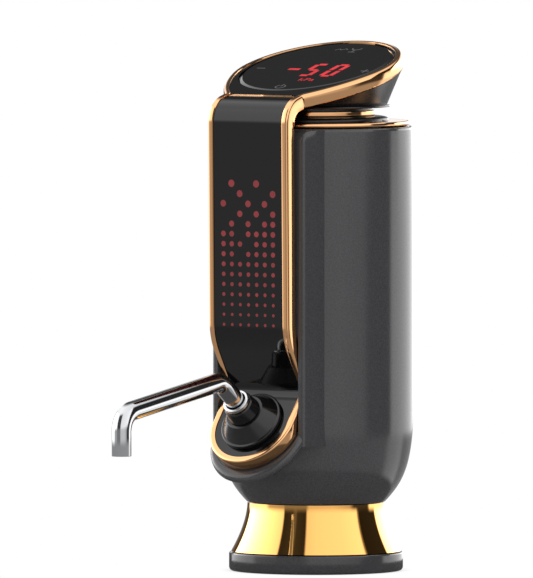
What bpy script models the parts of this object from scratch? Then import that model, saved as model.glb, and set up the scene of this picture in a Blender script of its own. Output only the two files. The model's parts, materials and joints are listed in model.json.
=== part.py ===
"""Counter-top wine preservation dispenser that stands on a bottle's mouth, at its real size in metres.

The front, where wine leaves the spout, faces -Y. The unit is symmetric left to right, and +Z is up.
Profiles are (forward, up) in the mirror plane and (side, forward) in plan, all from the body's axis.
"""

from math import acos, asin, cos, pi, radians, sin, sqrt, tan

import bmesh
import bpy
from mathutils import Matrix, Vector

# Fits
CLEARANCE = 0.0003
MERGE = 1e-7
OVERRUN = 0.0040
ROUND_STEPS = 48
SMALL_STEPS = 24
INNER_STEPS = 16
ARC_STEPS = 6
SMOOTH_ANGLE = radians(38)

# Body shell
BODY_RADIUS = 0.0300
BODY_BOTTOM = 0.0214
BODY_TOP = 0.1375
BODY_EDGE = 0.0010
BODY_WALL = 0.0019
FOOT_RADIUS = 0.0214
FOOT_HEIGHT = 0.0246
FOOT_SHARES = (
    (0.0, 0.0), (0.09, 0.23), (0.20, 0.46), (0.32, 0.645), (0.47, 0.80), (0.66, 0.915), (0.85, 0.98), (1.0, 1.0)
)
FLOOR_THICKNESS = 0.0026
FLOOR_HOLE_RADIUS = 0.0170
CAVITY_FRONT_SET = 0.0090

# Column of the shell that carries the front ribbon
COLUMN_HALF_WIDTH = 0.0172
COLUMN_PROUD = 0.0010
COLUMN_FRONT = BODY_RADIUS + COLUMN_PROUD
COLUMN_EDGE = 0.0012
COLUMN_TOP_ROUND = 0.0035
COLUMN_ROOT_SPREAD = 0.0030
COLUMN_ROOT_SET = 0.0105
COLUMN_FILLET_SET = 0.0038
COLUMN_FILLET = 0.0038
COLUMN_FOOT = 0.0400

# Front ribbon: the line of its outer face, in the mirror plane
HEAD_TILT = radians(16.1)
HEAD_FORWARD = 0.0008
HEAD_RISE = 0.0184
HEAD_HEIGHT = BODY_TOP + HEAD_RISE
RIBBON_PROUD = 0.0060
RIBBON_FRONT = BODY_RADIUS + RIBBON_PROUD
RIBBON_LEAN = 0.0008
RIBBON_HALF_WIDTH = 0.01495
TOP_BEND = 0.0085
DIP_START_HEIGHT = 0.0728
DIP_ANGLE = radians(31.2)
DIP_BEND = 0.0180
DIP_BACK = 0.00966
PLATFORM_ELEVATION = radians(38.0)
PLATFORM_BEND = 0.0035
PLATFORM_LENGTH = 0.01228

# Gold trim and the black panels inside it
TRIM_WIDTH = 0.0020
TRIM_DEPTH = 0.0044
TRIM_CHAMFER = 0.0006
PANEL_SET = 0.0003
PANEL_THICKNESS = 0.0020
MITRE_DISTANCE = 0.0289

# Head disc
HEAD_RADIUS = 0.02735
HEAD_SHOULDER = 0.0080
SHOULDER_RADIUS = 0.0560
SHOULDER_FILLET = 0.0015
GLASS_RADIUS = 0.0243
GLASS_BACK = 0.0009
GLASS_THICKNESS = 0.0011
GLASS_BEVEL = 0.0005
WINDOW_RADIUS = 0.0215
BOARD_RADIUS = 0.0225
BOARD_THICKNESS = 0.0012
BOARD_DEPTH = 0.0030
DIGITS_WIDTH = 0.0200
DIGITS_LENGTH = 0.0100
DIGITS_THICKNESS = 0.0010

# Head housing and neck
HOUSING_TOP_RADIUS = 0.0262
HOUSING_TOP_BACK = 0.0010
HOUSING_FOOT_RADIUS = 0.0219
HOUSING_FLANGE_RADIUS = 0.0229
HOUSING_FLANGE = 0.0006
NECK_HEIGHT = 0.0059
HOUSING_BOTTOM = BODY_TOP + NECK_HEIGHT
NECK_RADIUS = 0.0174
NECK_SHOULDER_RADIUS = 0.0224
NECK_SHOULDER_HEIGHT = 0.0018
NECK_PLUG_GAP = 0.0004
NECK_PLUG_DEPTH = 0.0045
NECK_BAND_RADIUS = 0.0183
NECK_BAND_HEIGHT = 0.0015
NECK_RING_SET = 0.0011
NECK_RING_WIDTH = 0.0080
NECK_RING_HEIGHT = 0.0014
NECK_RING_ROUND = 0.0006

# Base
BASE_RADIUS = 0.0269
BASE_HEIGHT = 0.0058
BASE_EDGE = 0.0012
BASE_TOP_EDGE = 0.0004
BASE_BORE = 0.0170
SKIRT_FOOT_RADIUS = 0.0262
SKIRT_TOP_RADIUS = 0.0212
SKIRT_WALL = 0.0012
SKIRT_POWER = 1.7
SKIRT_STEPS = 6
SEAL_RADIUS = 0.0166
SEAL_BORE = 0.0150
SEAL_MOUTH = 0.0154
SEAL_BOTTOM = 0.0008
SEAL_TOP = 0.0206
SEAL_CEILING = 0.0026
SEAL_RIB = 0.0006
SEAL_RIBS = 3
SCREW_CIRCLE = 0.0202
SCREW_COUNT = 4
SCREW_HEAD_RADIUS = 0.0019
SCREW_HEAD_HEIGHT = 0.0016
SCREW_HEAD_SET = 0.0006
SCREW_RADIUS = 0.0011
SCREW_LENGTH = 0.0085
PLATE_RADIUS = 0.0206
PLATE_THICKNESS = 0.0024

# Ports in the bottle seal
PORT_RADIUS = 0.0022
PORT_BORE = 0.0012
PORT_REACH = 0.0028
PORT_RISE = 0.0040
PORT_COLLAR = 0.0034
PORT_COLLAR_HEIGHT = 0.0010
AIR_PORT_FORWARD = 0.0065
AIR_PORT_SIDE = 0.0085

# Spout
BOSS_FOOT_RADIUS = 0.0102
BOSS_FOOT_HEIGHT = 0.0012
BOSS_CONE_RADIUS = 0.0094
BOSS_NECK_RADIUS = 0.0062
BOSS_HEIGHT = 0.0055
BOSS_EDGE = 0.0004
COLLAR_FOOT_RADIUS = 0.0053
COLLAR_RADIUS = 0.0047
COLLAR_HEIGHT = 0.0040
COLLAR_CHAMFER = 0.0004
SPOUT_RING_RADIUS = 0.0042
SPOUT_RING_HEIGHT = 0.0013
SPOUT_RADIUS = 0.0030
SPOUT_BORE = 0.0023
SPOUT_START = 0.0048
SPOUT_RISE = 0.0218
SPOUT_FALL = radians(8.7)
SPOUT_REACH = 0.0522
SPOUT_DROP = 0.0128
SPOUT_BEND = 0.0062
SEAL_RING_WIDTH = 0.0008
SEAL_RING_HEIGHT = 0.0016
PIPE_RADIUS = 0.0030
PIPE_BORE = 0.0020
PIPE_RISE = 0.0042
PIPE_DEPTH = 0.0196

# Chin of the shell under the platform
CHIN_RADIUS = 0.0168
CHIN_DROP = 0.0015
CHIN_EDGE = 0.0016
CHIN_DEPTH = 0.0018
CHIN_ROOT_DEPTH = 0.0118
CHIN_ROOT_RADIUS = 0.0068
CHIN_RISE = 0.0120

# Inner parts
FRAME_FORWARD = 0.0010
FRAME_THICKNESS = 0.0020
FRAME_HALF_WIDTH = 0.0200
FRAME_TOP_GAP = 0.0010
WINDOW_HALF_WIDTH = 0.0050
WINDOW_BACK = -0.0045
WINDOW_TOP = 0.0440
SHELF_RADIUS = 0.0260
SHELF_HEIGHT = 0.0348
SHELF_THICKNESS = 0.0020
MAIN_BOARD_HALF_WIDTH = 0.0180
MAIN_BOARD_RISE = 0.0165
PCB_THICKNESS = 0.0016
LED_BOARD_HALF_WIDTH = 0.0118
LED_BOARD_TOP_GAP = 0.0035
LED_BOARD_HEIGHT = 0.0490
LED_BOARD_THICKNESS = 0.0014
BATTERY_RADIUS = 0.0092
BATTERY_LENGTH = 0.0650
BATTERY_SIDE = -0.0118
BATTERY_CAP_RADIUS = 0.0030
BATTERY_CAP_HEIGHT = 0.0010
PUMP_SIDE = 0.0118
WORKS_GAP = 0.0008
MOTOR_RADIUS = 0.0100
MOTOR_LENGTH = 0.0200
MOTOR_EDGE = 0.0012
SHAFT_RADIUS = 0.0010
SHAFT_LENGTH = 0.0030
PUMP_HEAD_RADIUS = 0.0104
PUMP_HEAD_HEIGHT = 0.0110
PUMP_CHAMBER_RADIUS = 0.0070
PUMP_CHAMBER_HEIGHT = 0.0060
PUMP_NIPPLE_RADIUS = 0.0018
PUMP_NIPPLE_HEIGHT = 0.0030
CAM_RADIUS = 0.0045
CAM_OFFSET = 0.0012
CAM_HEIGHT = 0.0030
VALVE_HALF_WIDTH = 0.0060
VALVE_DEPTH = 0.0110
VALVE_HEIGHT = 0.0200
VALVE_TOP_GAP = 0.0092
VALVE_BORE = 0.0028
VALVE_BORE_DEPTH = 0.0160
PLUNGER_RADIUS = 0.0024
PLUNGER_LENGTH = 0.0150
HOSE_RADIUS = 0.0024
USB_HALF_WIDTH = 0.00447
USB_HALF_HEIGHT = 0.00163
USB_ROUND = 0.0012
USB_WALL = 0.0003
USB_LENGTH = 0.0074
USB_HEIGHT = 0.0470
USB_SET = 0.0002
CHARGE_BOARD_HALF_WIDTH = 0.0055
CHARGE_BOARD_HEIGHT = 0.0160

# Hose routes from the ports: (side, forward, up), and for the air hose its share of the rise to the valve
WINE_HOSE_ROUTE = (
    (0.0, 0.0180, 0.0347), (0.0, 0.0140, 0.0322), (0.0, 0.0108, 0.0325), (0.0, 0.0082, 0.0350),
    (0.0, 0.0052, 0.0381), (0.0, 0.0018, 0.0378), (0.0, 0.0, 0.0348), (0.0, 0.0, 0.0313),
)
AIR_HOSE_ROUTE = (
    (0.0, 0.0108, 1.0), (0.0, 0.0110, 0.89), (0.0020, 0.0118, 0.71), (0.0065, 0.0125, 0.51),
    (0.0095, 0.0120, 0.32), (0.0105, 0.0095, 0.165), (0.0088, 0.0068, 0.075), (0.0085, 0.0065, 0.0),
)
AIR_HOSE_FOOT = 0.0313
AIR_HOSE_GAP = 0.0010

# Colours and finishes: (red, green, blue, roughness, metallic)
GRAPHITE = (0.070, 0.070, 0.072, 0.45, 0.6)
GOLD = (0.720, 0.450, 0.200, 0.12, 1.0)
GLOSS_BLACK = (0.012, 0.012, 0.013, 0.06, 0.0)
SATIN_BLACK = (0.020, 0.020, 0.021, 0.35, 0.0)
STEEL = (0.720, 0.720, 0.730, 0.10, 1.0)
SILICONE = (0.100, 0.100, 0.100, 0.70, 0.0)
CIRCUIT = (0.020, 0.120, 0.060, 0.50, 0.0)
CELL_WRAP = (0.050, 0.120, 0.300, 0.40, 0.0)
WHITE_PLASTIC = (0.700, 0.700, 0.680, 0.40, 0.0)
CLEAR_HOSE = (0.650, 0.680, 0.680, 0.30, 0.0)


# An empty scene to build in
for old in list(bpy.data.objects):
    bpy.data.objects.remove(old, do_unlink=True)


def place(side, forward, up):
    """A point of the unit, from the body's axis at the resting face."""
    return Vector((side, -forward, up))


def empty(name, location=Vector(), rotation=(0, 0, 0), parent=None):
    obj = bpy.data.objects.new(name, None)
    bpy.context.scene.collection.objects.link(obj)
    obj.location = location
    obj.rotation_euler = rotation
    obj.parent = parent
    return obj


def material_of(name, finish):
    material = bpy.data.materials.get(name)
    if material:
        return material
    red, green, blue, roughness, metallic = finish
    material = bpy.data.materials.new(name)
    material.use_nodes = True
    shader = material.node_tree.nodes["Principled BSDF"]
    shader.inputs["Base Color"].default_value = (red, green, blue, 1)
    shader.inputs["Roughness"].default_value = roughness
    shader.inputs["Metallic"].default_value = metallic
    material.diffuse_color = (red, green, blue, 1)
    return material


def add_object(name, bm, finish, parent):
    """Turns a bmesh into a named object with its own material."""
    bmesh.ops.remove_doubles(bm, verts=bm.verts, dist=MERGE)
    bmesh.ops.recalc_face_normals(bm, faces=bm.faces)
    mesh = bpy.data.meshes.new(name)
    bm.to_mesh(mesh)
    bm.free()
    mesh.shade_smooth()
    mesh.set_sharp_from_angle(angle=SMOOTH_ANGLE)
    obj = bpy.data.objects.new(name, mesh)
    bpy.context.scene.collection.objects.link(obj)
    obj.parent = parent
    obj.data.materials.append(material_of(name + "_finish", finish))
    return obj


def filleted(corners, steps=ARC_STEPS):
    """A closed outline from (x, y, radius) corners, each rounded by an arc of its radius."""
    points = []
    for index, (x, y, radius) in enumerate(corners):
        here = Vector((x, y))
        if radius == 0:
            points.append(here)
            continue
        before = Vector(corners[index - 1][:2]) - here
        after = Vector(corners[(index + 1) % len(corners)][:2]) - here
        half = before.angle(after) / 2
        reach = radius / tan(half)
        centre = here + (before.normalized() + after.normalized()).normalized() * (radius / sin(half))
        start = here + before.normalized() * reach - centre
        turn = start.angle_signed(here + after.normalized() * reach - centre)
        for step in range(steps + 1):
            points.append(centre + Matrix.Rotation(-turn * step / steps, 2) @ start)
    return points


def loft(bm, loops, closed=False):
    """Skins a row of matching closed loops. The first and last are capped, or joined when closed."""
    rings = [[bm.verts.new(point) for point in loop] for loop in loops]
    pairs = list(zip(rings, rings[1:]))
    if closed:
        pairs.append((rings[-1], rings[0]))
    for lower, upper in pairs:
        for index in range(len(lower)):
            after = (index + 1) % len(lower)
            bm.faces.new((lower[index], lower[after], upper[after], upper[index]))
    if not closed:
        bm.faces.new(rings[0])
        bm.faces.new(rings[-1])


def lofted(name, loops, finish, parent, closed=False):
    bm = bmesh.new()
    loft(bm, loops, closed)
    return add_object(name, bm, finish, parent)


def turned(name, outline, finish, parent, steps=ROUND_STEPS):
    """Spins a closed (radius, up) outline a full turn about the parent's Z axis."""
    bm = bmesh.new()
    verts = [bm.verts.new((point[0], 0, point[1])) for point in outline]
    edges = [bm.edges.new((verts[index - 1], verts[index])) for index in range(len(verts))]
    bmesh.ops.spin(
        bm, geom=verts + edges, cent=(0, 0, 0), axis=(0, 0, 1), angle=2 * pi, steps=steps, use_merge=True
    )
    bmesh.ops.remove_doubles(bm, verts=bm.verts, dist=MERGE)
    bmesh.ops.dissolve_degenerate(bm, edges=bm.edges, dist=MERGE)
    bmesh.ops.delete(bm, geom=[edge for edge in bm.edges if not edge.link_faces], context="EDGES")
    return add_object(name, bm, finish, parent)


def prism(name, outline, low, high, finish, parent, place_point):
    """Extrudes a closed outline. place_point turns (x, y, depth) into a place."""
    loops = [[place_point(point[0], point[1], depth) for point in outline] for depth in (low, high)]
    return lofted(name, loops, finish, parent)


def upright(side, forward, up):
    return place(side, forward, up)


def facing_front(side, up, forward):
    return place(side, forward, up)


def box_outline(half_width, low, high):
    corners = ((-half_width, low), (half_width, low), (half_width, high), (-half_width, high))
    return [Vector(corner) for corner in corners]


def combine(target, tool, operation):
    """Adds a Boolean that cuts the tool from the target, or joins it on. The tool itself isn't a piece."""
    tool.hide_render = True
    tool.display_type = "WIRE"
    modifier = target.modifiers.new(operation.lower() + "_" + tool.name, "BOOLEAN")
    modifier.operation = operation
    modifier.object = tool
    modifier.solver = "EXACT"


def cut(target, *tools):
    for tool in tools:
        combine(target, tool, "DIFFERENCE")


def join(target, *tools):
    for tool in tools:
        combine(target, tool, "UNION")


def circle(radius, steps=ROUND_STEPS):
    angles = [2 * pi * step / steps for step in range(steps)]
    return [Vector((radius * cos(angle), radius * sin(angle))) for angle in angles]


# Line of the ribbon's outer face: head disc, top bend, front, dip, platform
class RibbonLine:
    """Maps a distance along the ribbon, an offset to the side and a depth under its face to a place."""

    def __init__(self, corners):
        self.pieces = []
        travelled = 0.0
        start = Vector(corners[0][:2])
        for before, corner, after in zip(corners, corners[1:], corners[2:]):
            here = Vector(corner[:2])
            incoming = (here - Vector(before[:2])).normalized()
            outgoing = (Vector(after[:2]) - here).normalized()
            turn = incoming.angle_signed(outgoing)
            reach = corner[2] * tan(abs(turn) / 2)
            bend_start = here - incoming * reach
            length = (bend_start - start).length
            self.pieces.append((travelled, travelled + length, start, incoming, 0.0))
            travelled += length
            arc = corner[2] * abs(turn)
            self.pieces.append((travelled, travelled + arc, bend_start, incoming, turn))
            travelled += arc
            start = here + outgoing * reach
        last = Vector(corners[-1][:2])
        onward = last - start
        self.pieces.append((travelled, travelled + onward.length, start, onward.normalized(), 0.0))
        self.length = travelled + (last - start).length

    def frame(self, distance):
        """Point, direction and outward normal of the face, each as (forward, up)."""
        piece = self.pieces[0]
        for candidate in self.pieces:
            if distance >= candidate[0]:
                piece = candidate
        low, high, start, direction, turn = piece
        if turn == 0:
            point = start + direction * (distance - low)
        else:
            angle = turn * (distance - low) / (high - low)
            radius = (high - low) / turn
            across = Vector((direction.y, -direction.x))
            point = start + direction * (radius * sin(angle)) + across * (radius * (1 - cos(angle)))
            direction = Matrix.Rotation(-angle, 2) @ direction
        return point, direction, Vector((-direction.y, direction.x))

    def place(self, distance, side, depth):
        point, _, normal = self.frame(distance)
        point = point - normal * depth
        return place(side, point.x, point.y)

    def stations(self, low, high, steps=ARC_STEPS):
        """Distances between low and high at which the ribbon needs a row of points."""
        found = {low, high}
        for start, end, _, _, turn in self.pieces:
            shares = [step / steps for step in range(steps + 1)] if turn else (0.0, 1.0)
            found |= {start + (end - start) * share for share in shares}
        return sorted(value for value in found if low <= value <= high)


head_along = Vector((cos(HEAD_TILT), -sin(HEAD_TILT)))
head_centre = Vector((HEAD_FORWARD, HEAD_HEIGHT))
top_corner = head_centre + head_along * ((RIBBON_FRONT + RIBBON_LEAN - HEAD_FORWARD) / head_along.x)
dip_start = Vector((RIBBON_FRONT, DIP_START_HEIGHT))
dip_end = dip_start + Vector((-sin(DIP_ANGLE), -cos(DIP_ANGLE))) * (DIP_BACK / sin(DIP_ANGLE))
platform_along = Vector((sin(PLATFORM_ELEVATION), -cos(PLATFORM_ELEVATION)))
platform_normal = Vector((cos(PLATFORM_ELEVATION), sin(PLATFORM_ELEVATION)))
platform_centre = dip_end + platform_along * PLATFORM_LENGTH
RIBBON = RibbonLine(
    (
        (*head_centre, 0.0),
        (*top_corner, TOP_BEND),
        (*dip_start, DIP_BEND),
        (*dip_end, PLATFORM_BEND),
        (*platform_centre, 0.0),
    )
)

# The spout's own line, in the mirror plane, gives the footprint's front end
spout_foot = platform_centre - platform_normal * PANEL_SET
spout_corner = spout_foot + platform_normal * SPOUT_RISE
spout_fall = Vector((cos(SPOUT_FALL), -sin(SPOUT_FALL)))
spout_end_corner = spout_corner + spout_fall * SPOUT_REACH
spout_tip = spout_end_corner - Vector((0, SPOUT_DROP))
FRONT_REACH = spout_end_corner.x + SPOUT_RADIUS

# The whole unit hangs on one empty at the body's axis, set back so that the footprint is centred on the origin
AXIS = empty("body_axis", Vector((0, (FRONT_REACH - BODY_RADIUS) / 2, 0)))
SPOUT_AXIS = empty(
    "spout_axis", place(0, spout_foot.x, spout_foot.y), (pi / 2 - PLATFORM_ELEVATION, 0, 0), AXIS
)


# Outlines of the ribbon laid flat: (distance along, side), with the outward normal at each point
def strip_side(low, high, half_width, sign):
    distances = RIBBON.stations(low, high)
    return [(Vector((distance, sign * half_width)), Vector((0, sign))) for distance in distances]


def platform_arc(radius, steps=ROUND_STEPS // 2):
    """The rounded lower end, from the right edge round to the left."""
    points = []
    for step in range(1, steps):
        angle = pi / 2 - pi * step / steps
        normal = Vector((cos(angle), sin(angle)))
        points.append((Vector((RIBBON.length, 0)) + normal * radius, normal))
    return points


def head_edge(inset=0.0):
    """The head's outline from the strip's right edge round the back to its left edge, moved in by inset."""
    corners = head_corners()
    points = []
    for index, point in enumerate(corners):
        before = corners[max(index - 1, 0)]
        after = corners[min(index + 1, len(corners) - 1)]
        along = (after - before).normalized()
        normal = Vector((along.y, -along.x))
        if index in (0, len(corners) - 1):
            normal = Vector((0, 1 if index == 0 else -1))
        points.append((point - normal * inset, normal))
    return points


def head_corners():
    """Half a disc, its flatter shoulders and the fillets that lead into the strip, as one open line."""
    angle = acos(HEAD_SHOULDER / HEAD_RADIUS)
    shoulder_centre = Vector((cos(angle), sin(angle))) * (HEAD_RADIUS - SHOULDER_RADIUS)
    fillet_side = RIBBON_HALF_WIDTH + SHOULDER_FILLET
    away = fillet_side - shoulder_centre.y
    reach = SHOULDER_RADIUS + SHOULDER_FILLET
    fillet_centre = Vector((shoulder_centre.x + sqrt(reach * reach - away * away), fillet_side))
    meeting = fillet_centre - shoulder_centre
    meeting_angle = meeting.angle(Vector((1, 0)))
    points = [Vector((MITRE_DISTANCE, RIBBON_HALF_WIDTH))]
    for step in range(ARC_STEPS // 2 + 1):
        swing = (pi / 2 - meeting_angle) * step / (ARC_STEPS // 2)
        points.append(fillet_centre + Vector((-sin(swing), -cos(swing))) * SHOULDER_FILLET)
    for step in range(1, ARC_STEPS + 1):
        turn = meeting_angle + (angle - meeting_angle) * step / ARC_STEPS
        points.append(shoulder_centre + Vector((cos(turn), sin(turn))) * SHOULDER_RADIUS)
    half_steps = ROUND_STEPS // 2
    for step in range(1, half_steps + 1):
        turn = angle + (pi - angle) * step / half_steps
        points.append(Vector((cos(turn), sin(turn))) * HEAD_RADIUS)
    return points + [Vector((point.x, -point.y)) for point in reversed(points[:-1])]


def trim_section(width):
    """Section of the gold trim: (inward, depth), with its outer front and back edges bevelled."""
    return [
        (width, 0.0),
        (TRIM_CHAMFER, 0.0),
        (0.0, TRIM_CHAMFER),
        (0.0, TRIM_DEPTH - TRIM_CHAMFER / 2),
        (TRIM_CHAMFER / 2, TRIM_DEPTH),
        (width, TRIM_DEPTH),
    ]


def trim_along(name, line, parent):
    loops = []
    for point, normal in line:
        loop = []
        for inward, depth in trim_section(TRIM_WIDTH):
            flat = point - normal * inward
            loop.append(RIBBON.place(flat.x, flat.y, depth))
        loops.append(loop)
    return lofted(name, loops, GOLD, parent)


def make_ribbon():
    """Gold trim in two pieces that meet in a mitre under the head, and the black panel inside the long one."""
    start = MITRE_DISTANCE + CLEARANCE / 2
    end = RIBBON.length
    right = strip_side(start, end, RIBBON_HALF_WIDTH, 1)
    left = list(reversed(strip_side(start, end, RIBBON_HALF_WIDTH, -1)))
    trim_along("panel_trim", right + platform_arc(RIBBON_HALF_WIDTH) + left, AXIS)
    trim_along("head_rim", head_edge(), AXIS)
    half_width = RIBBON_HALF_WIDTH - TRIM_WIDTH - CLEARANCE
    rows = [(distance, half_width) for distance in RIBBON.stations(start, end)]
    for step in range(1, ROUND_STEPS // 4):
        angle = (pi / 2) * step / (ROUND_STEPS // 4)
        rows.append((end + half_width * sin(angle), half_width * cos(angle)))
    loops = []
    for distance, half in rows:
        back = PANEL_SET + PANEL_THICKNESS
        corners = ((-half, PANEL_SET), (half, PANEL_SET), (half, back), (-half, back))
        loops.append([RIBBON.place(distance, side, depth) for side, depth in corners])
    panel = lofted("front_panel", loops, GLOSS_BLACK, AXIS)
    cut(panel, spout_drill("panel_drill", PIPE_RADIUS + CLEARANCE, -OVERRUN, OVERRUN))


def spout_drill(name, radius, low, high):
    """A round cutter on the spout's axis."""
    outline = [(0, low), (radius, low), (radius, high), (0, high)]
    return turned(name, outline, SATIN_BLACK, SPOUT_AXIS, SMALL_STEPS)


def head_place(along, side, depth):
    return RIBBON.place(along, side, depth)


def make_head():
    """Black plate inside the rim, the round touch glass set in it, and the display under the glass."""
    inside = [point for point, _ in head_edge(TRIM_WIDTH + CLEARANCE)]
    bottom = PANEL_SET + PANEL_THICKNESS
    plate = prism("head_plate", inside, PANEL_SET, bottom, GLOSS_BLACK, AXIS, head_place)
    glass_centre = Vector((-GLASS_BACK, 0))

    def disc(radius):
        return [point + glass_centre for point in circle(radius)]

    pocket_floor = PANEL_SET + GLASS_THICKNESS + CLEARANCE
    pocket_line = disc(GLASS_RADIUS + CLEARANCE)
    pocket = prism("glass_pocket", pocket_line, -OVERRUN, pocket_floor, GLOSS_BLACK, AXIS, head_place)
    window_line = disc(WINDOW_RADIUS)
    window = prism("display_window", window_line, -OVERRUN, bottom + OVERRUN, GLOSS_BLACK, AXIS, head_place)
    cut(plate, pocket, window)
    layers = (
        (GLASS_RADIUS - GLASS_BEVEL, PANEL_SET),
        (GLASS_RADIUS, PANEL_SET + GLASS_BEVEL),
        (GLASS_RADIUS, PANEL_SET + GLASS_THICKNESS),
    )
    loops = [[head_place(point.x, point.y, depth) for point in disc(radius)] for radius, depth in layers]
    lofted("touch_glass", loops, GLOSS_BLACK, AXIS)
    board_bottom = BOARD_DEPTH + BOARD_THICKNESS
    prism("display_board", disc(BOARD_RADIUS), BOARD_DEPTH, board_bottom, CIRCUIT, AXIS, head_place)
    digits_bottom = BOARD_DEPTH - CLEARANCE
    digits = [Vector((y, x)) for x, y in box_outline(DIGITS_WIDTH / 2, -DIGITS_LENGTH / 2, DIGITS_LENGTH / 2)]
    digits_top = digits_bottom - DIGITS_THICKNESS
    prism("digit_display", digits, digits_top, digits_bottom, WHITE_PLASTIC, AXIS, head_place)


def make_housing():
    """The neck under the head: a cone from a round foot to the tilted underside of the disc."""
    flange_top = HOUSING_BOTTOM + HOUSING_FLANGE
    loops = []
    for radius, up in (
        (HOUSING_FLANGE_RADIUS - HOUSING_FLANGE / 2, HOUSING_BOTTOM),
        (HOUSING_FLANGE_RADIUS, HOUSING_BOTTOM + HOUSING_FLANGE / 2),
        (HOUSING_FLANGE_RADIUS, flange_top),
        (HOUSING_FOOT_RADIUS, flange_top),
    ):
        loops.append([place(point.y, point.x, up) for point in circle(radius)])
    depth = TRIM_DEPTH + CLEARANCE
    rim = circle(HOUSING_TOP_RADIUS)
    loops.append([head_place(point.x - HOUSING_TOP_BACK, point.y, depth) for point in rim])
    lofted("head_housing", loops, SATIN_BLACK, AXIS)


def make_neck():
    """Gold ring on the shell's rim, the black neck that plugs into the shell, and the gold band on it."""
    ring_low = BODY_TOP + CLEARANCE
    ring_high = ring_low + NECK_RING_HEIGHT
    ring_radius = BODY_RADIUS - NECK_RING_SET
    ring_inner = ring_radius - NECK_RING_WIDTH
    turned(
        "neck_ring",
        filleted(
            [
                (ring_inner, ring_low, 0),
                (ring_radius, ring_low, NECK_RING_ROUND),
                (ring_radius, ring_high, NECK_RING_ROUND),
                (ring_inner, ring_high, 0),
            ],
            ARC_STEPS // 2,
        ),
        GOLD,
        AXIS,
    )
    neck_low = ring_high + CLEARANCE
    neck_high = HOUSING_BOTTOM - CLEARANCE
    plug_radius = ring_inner - NECK_PLUG_GAP
    rise = neck_low + NECK_SHOULDER_HEIGHT
    dome = []
    for step in range(ARC_STEPS // 2 + 1):
        angle = (pi / 2) * step / (ARC_STEPS // 2)
        radius = NECK_RADIUS + (NECK_SHOULDER_RADIUS - NECK_RADIUS) * cos(angle)
        dome.append((radius, neck_low + CLEARANCE + (NECK_SHOULDER_HEIGHT - CLEARANCE) * sin(angle)))
    outline = [
        (0, BODY_TOP - NECK_PLUG_DEPTH),
        (plug_radius, BODY_TOP - NECK_PLUG_DEPTH),
        (plug_radius, neck_low),
        (NECK_SHOULDER_RADIUS, neck_low),
        *dome,
        (NECK_RADIUS, neck_high),
        (0, neck_high),
    ]
    turned("neck_core", outline, SATIN_BLACK, AXIS)
    band_low = rise + CLEARANCE / 2
    band = box_outline((NECK_BAND_RADIUS - NECK_RADIUS - CLEARANCE) / 2, band_low, band_low + NECK_BAND_HEIGHT)
    middle = (NECK_BAND_RADIUS + NECK_RADIUS + CLEARANCE) / 2
    turned("neck_band", [(x + middle, y) for x, y in band], GOLD, AXIS)


def body_profile(inset):
    """Outer line of the shell's foot and wall, moved in by inset: (radius, up)."""
    points = []
    for up_share, out_share in FOOT_SHARES:
        radius = FOOT_RADIUS + (BODY_RADIUS - FOOT_RADIUS) * out_share
        points.append((radius - inset, BODY_BOTTOM + FOOT_HEIGHT * up_share))
    return points


def column_outline(front):
    """Plan of the column on the shell's front: (side, forward)."""
    corners = [
        (COLUMN_HALF_WIDTH + COLUMN_ROOT_SPREAD, BODY_RADIUS - COLUMN_ROOT_SET, 0),
        (COLUMN_HALF_WIDTH, BODY_RADIUS - COLUMN_FILLET_SET, COLUMN_FILLET),
        (COLUMN_HALF_WIDTH, front, COLUMN_EDGE),
        (-COLUMN_HALF_WIDTH, front, COLUMN_EDGE),
        (-COLUMN_HALF_WIDTH, BODY_RADIUS - COLUMN_FILLET_SET, COLUMN_FILLET),
        (-COLUMN_HALF_WIDTH - COLUMN_ROOT_SPREAD, BODY_RADIUS - COLUMN_ROOT_SET, 0),
    ]
    return filleted(corners, ARC_STEPS // 2)


def chin_loop(radius, depth):
    """Outline round the platform at a depth under its face: a half disc whose sides run up into the shell."""
    flat = [Vector((RIBBON.length - CHIN_RISE, radius))]
    flat += [point for point, _ in platform_arc(radius)]
    flat += [Vector((RIBBON.length - CHIN_RISE, -radius))]
    middle = platform_centre + platform_along * CHIN_DROP - platform_normal * depth
    return [place(point.y, *(middle + platform_along * (point.x - RIBBON.length))) for point in flat]


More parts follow.
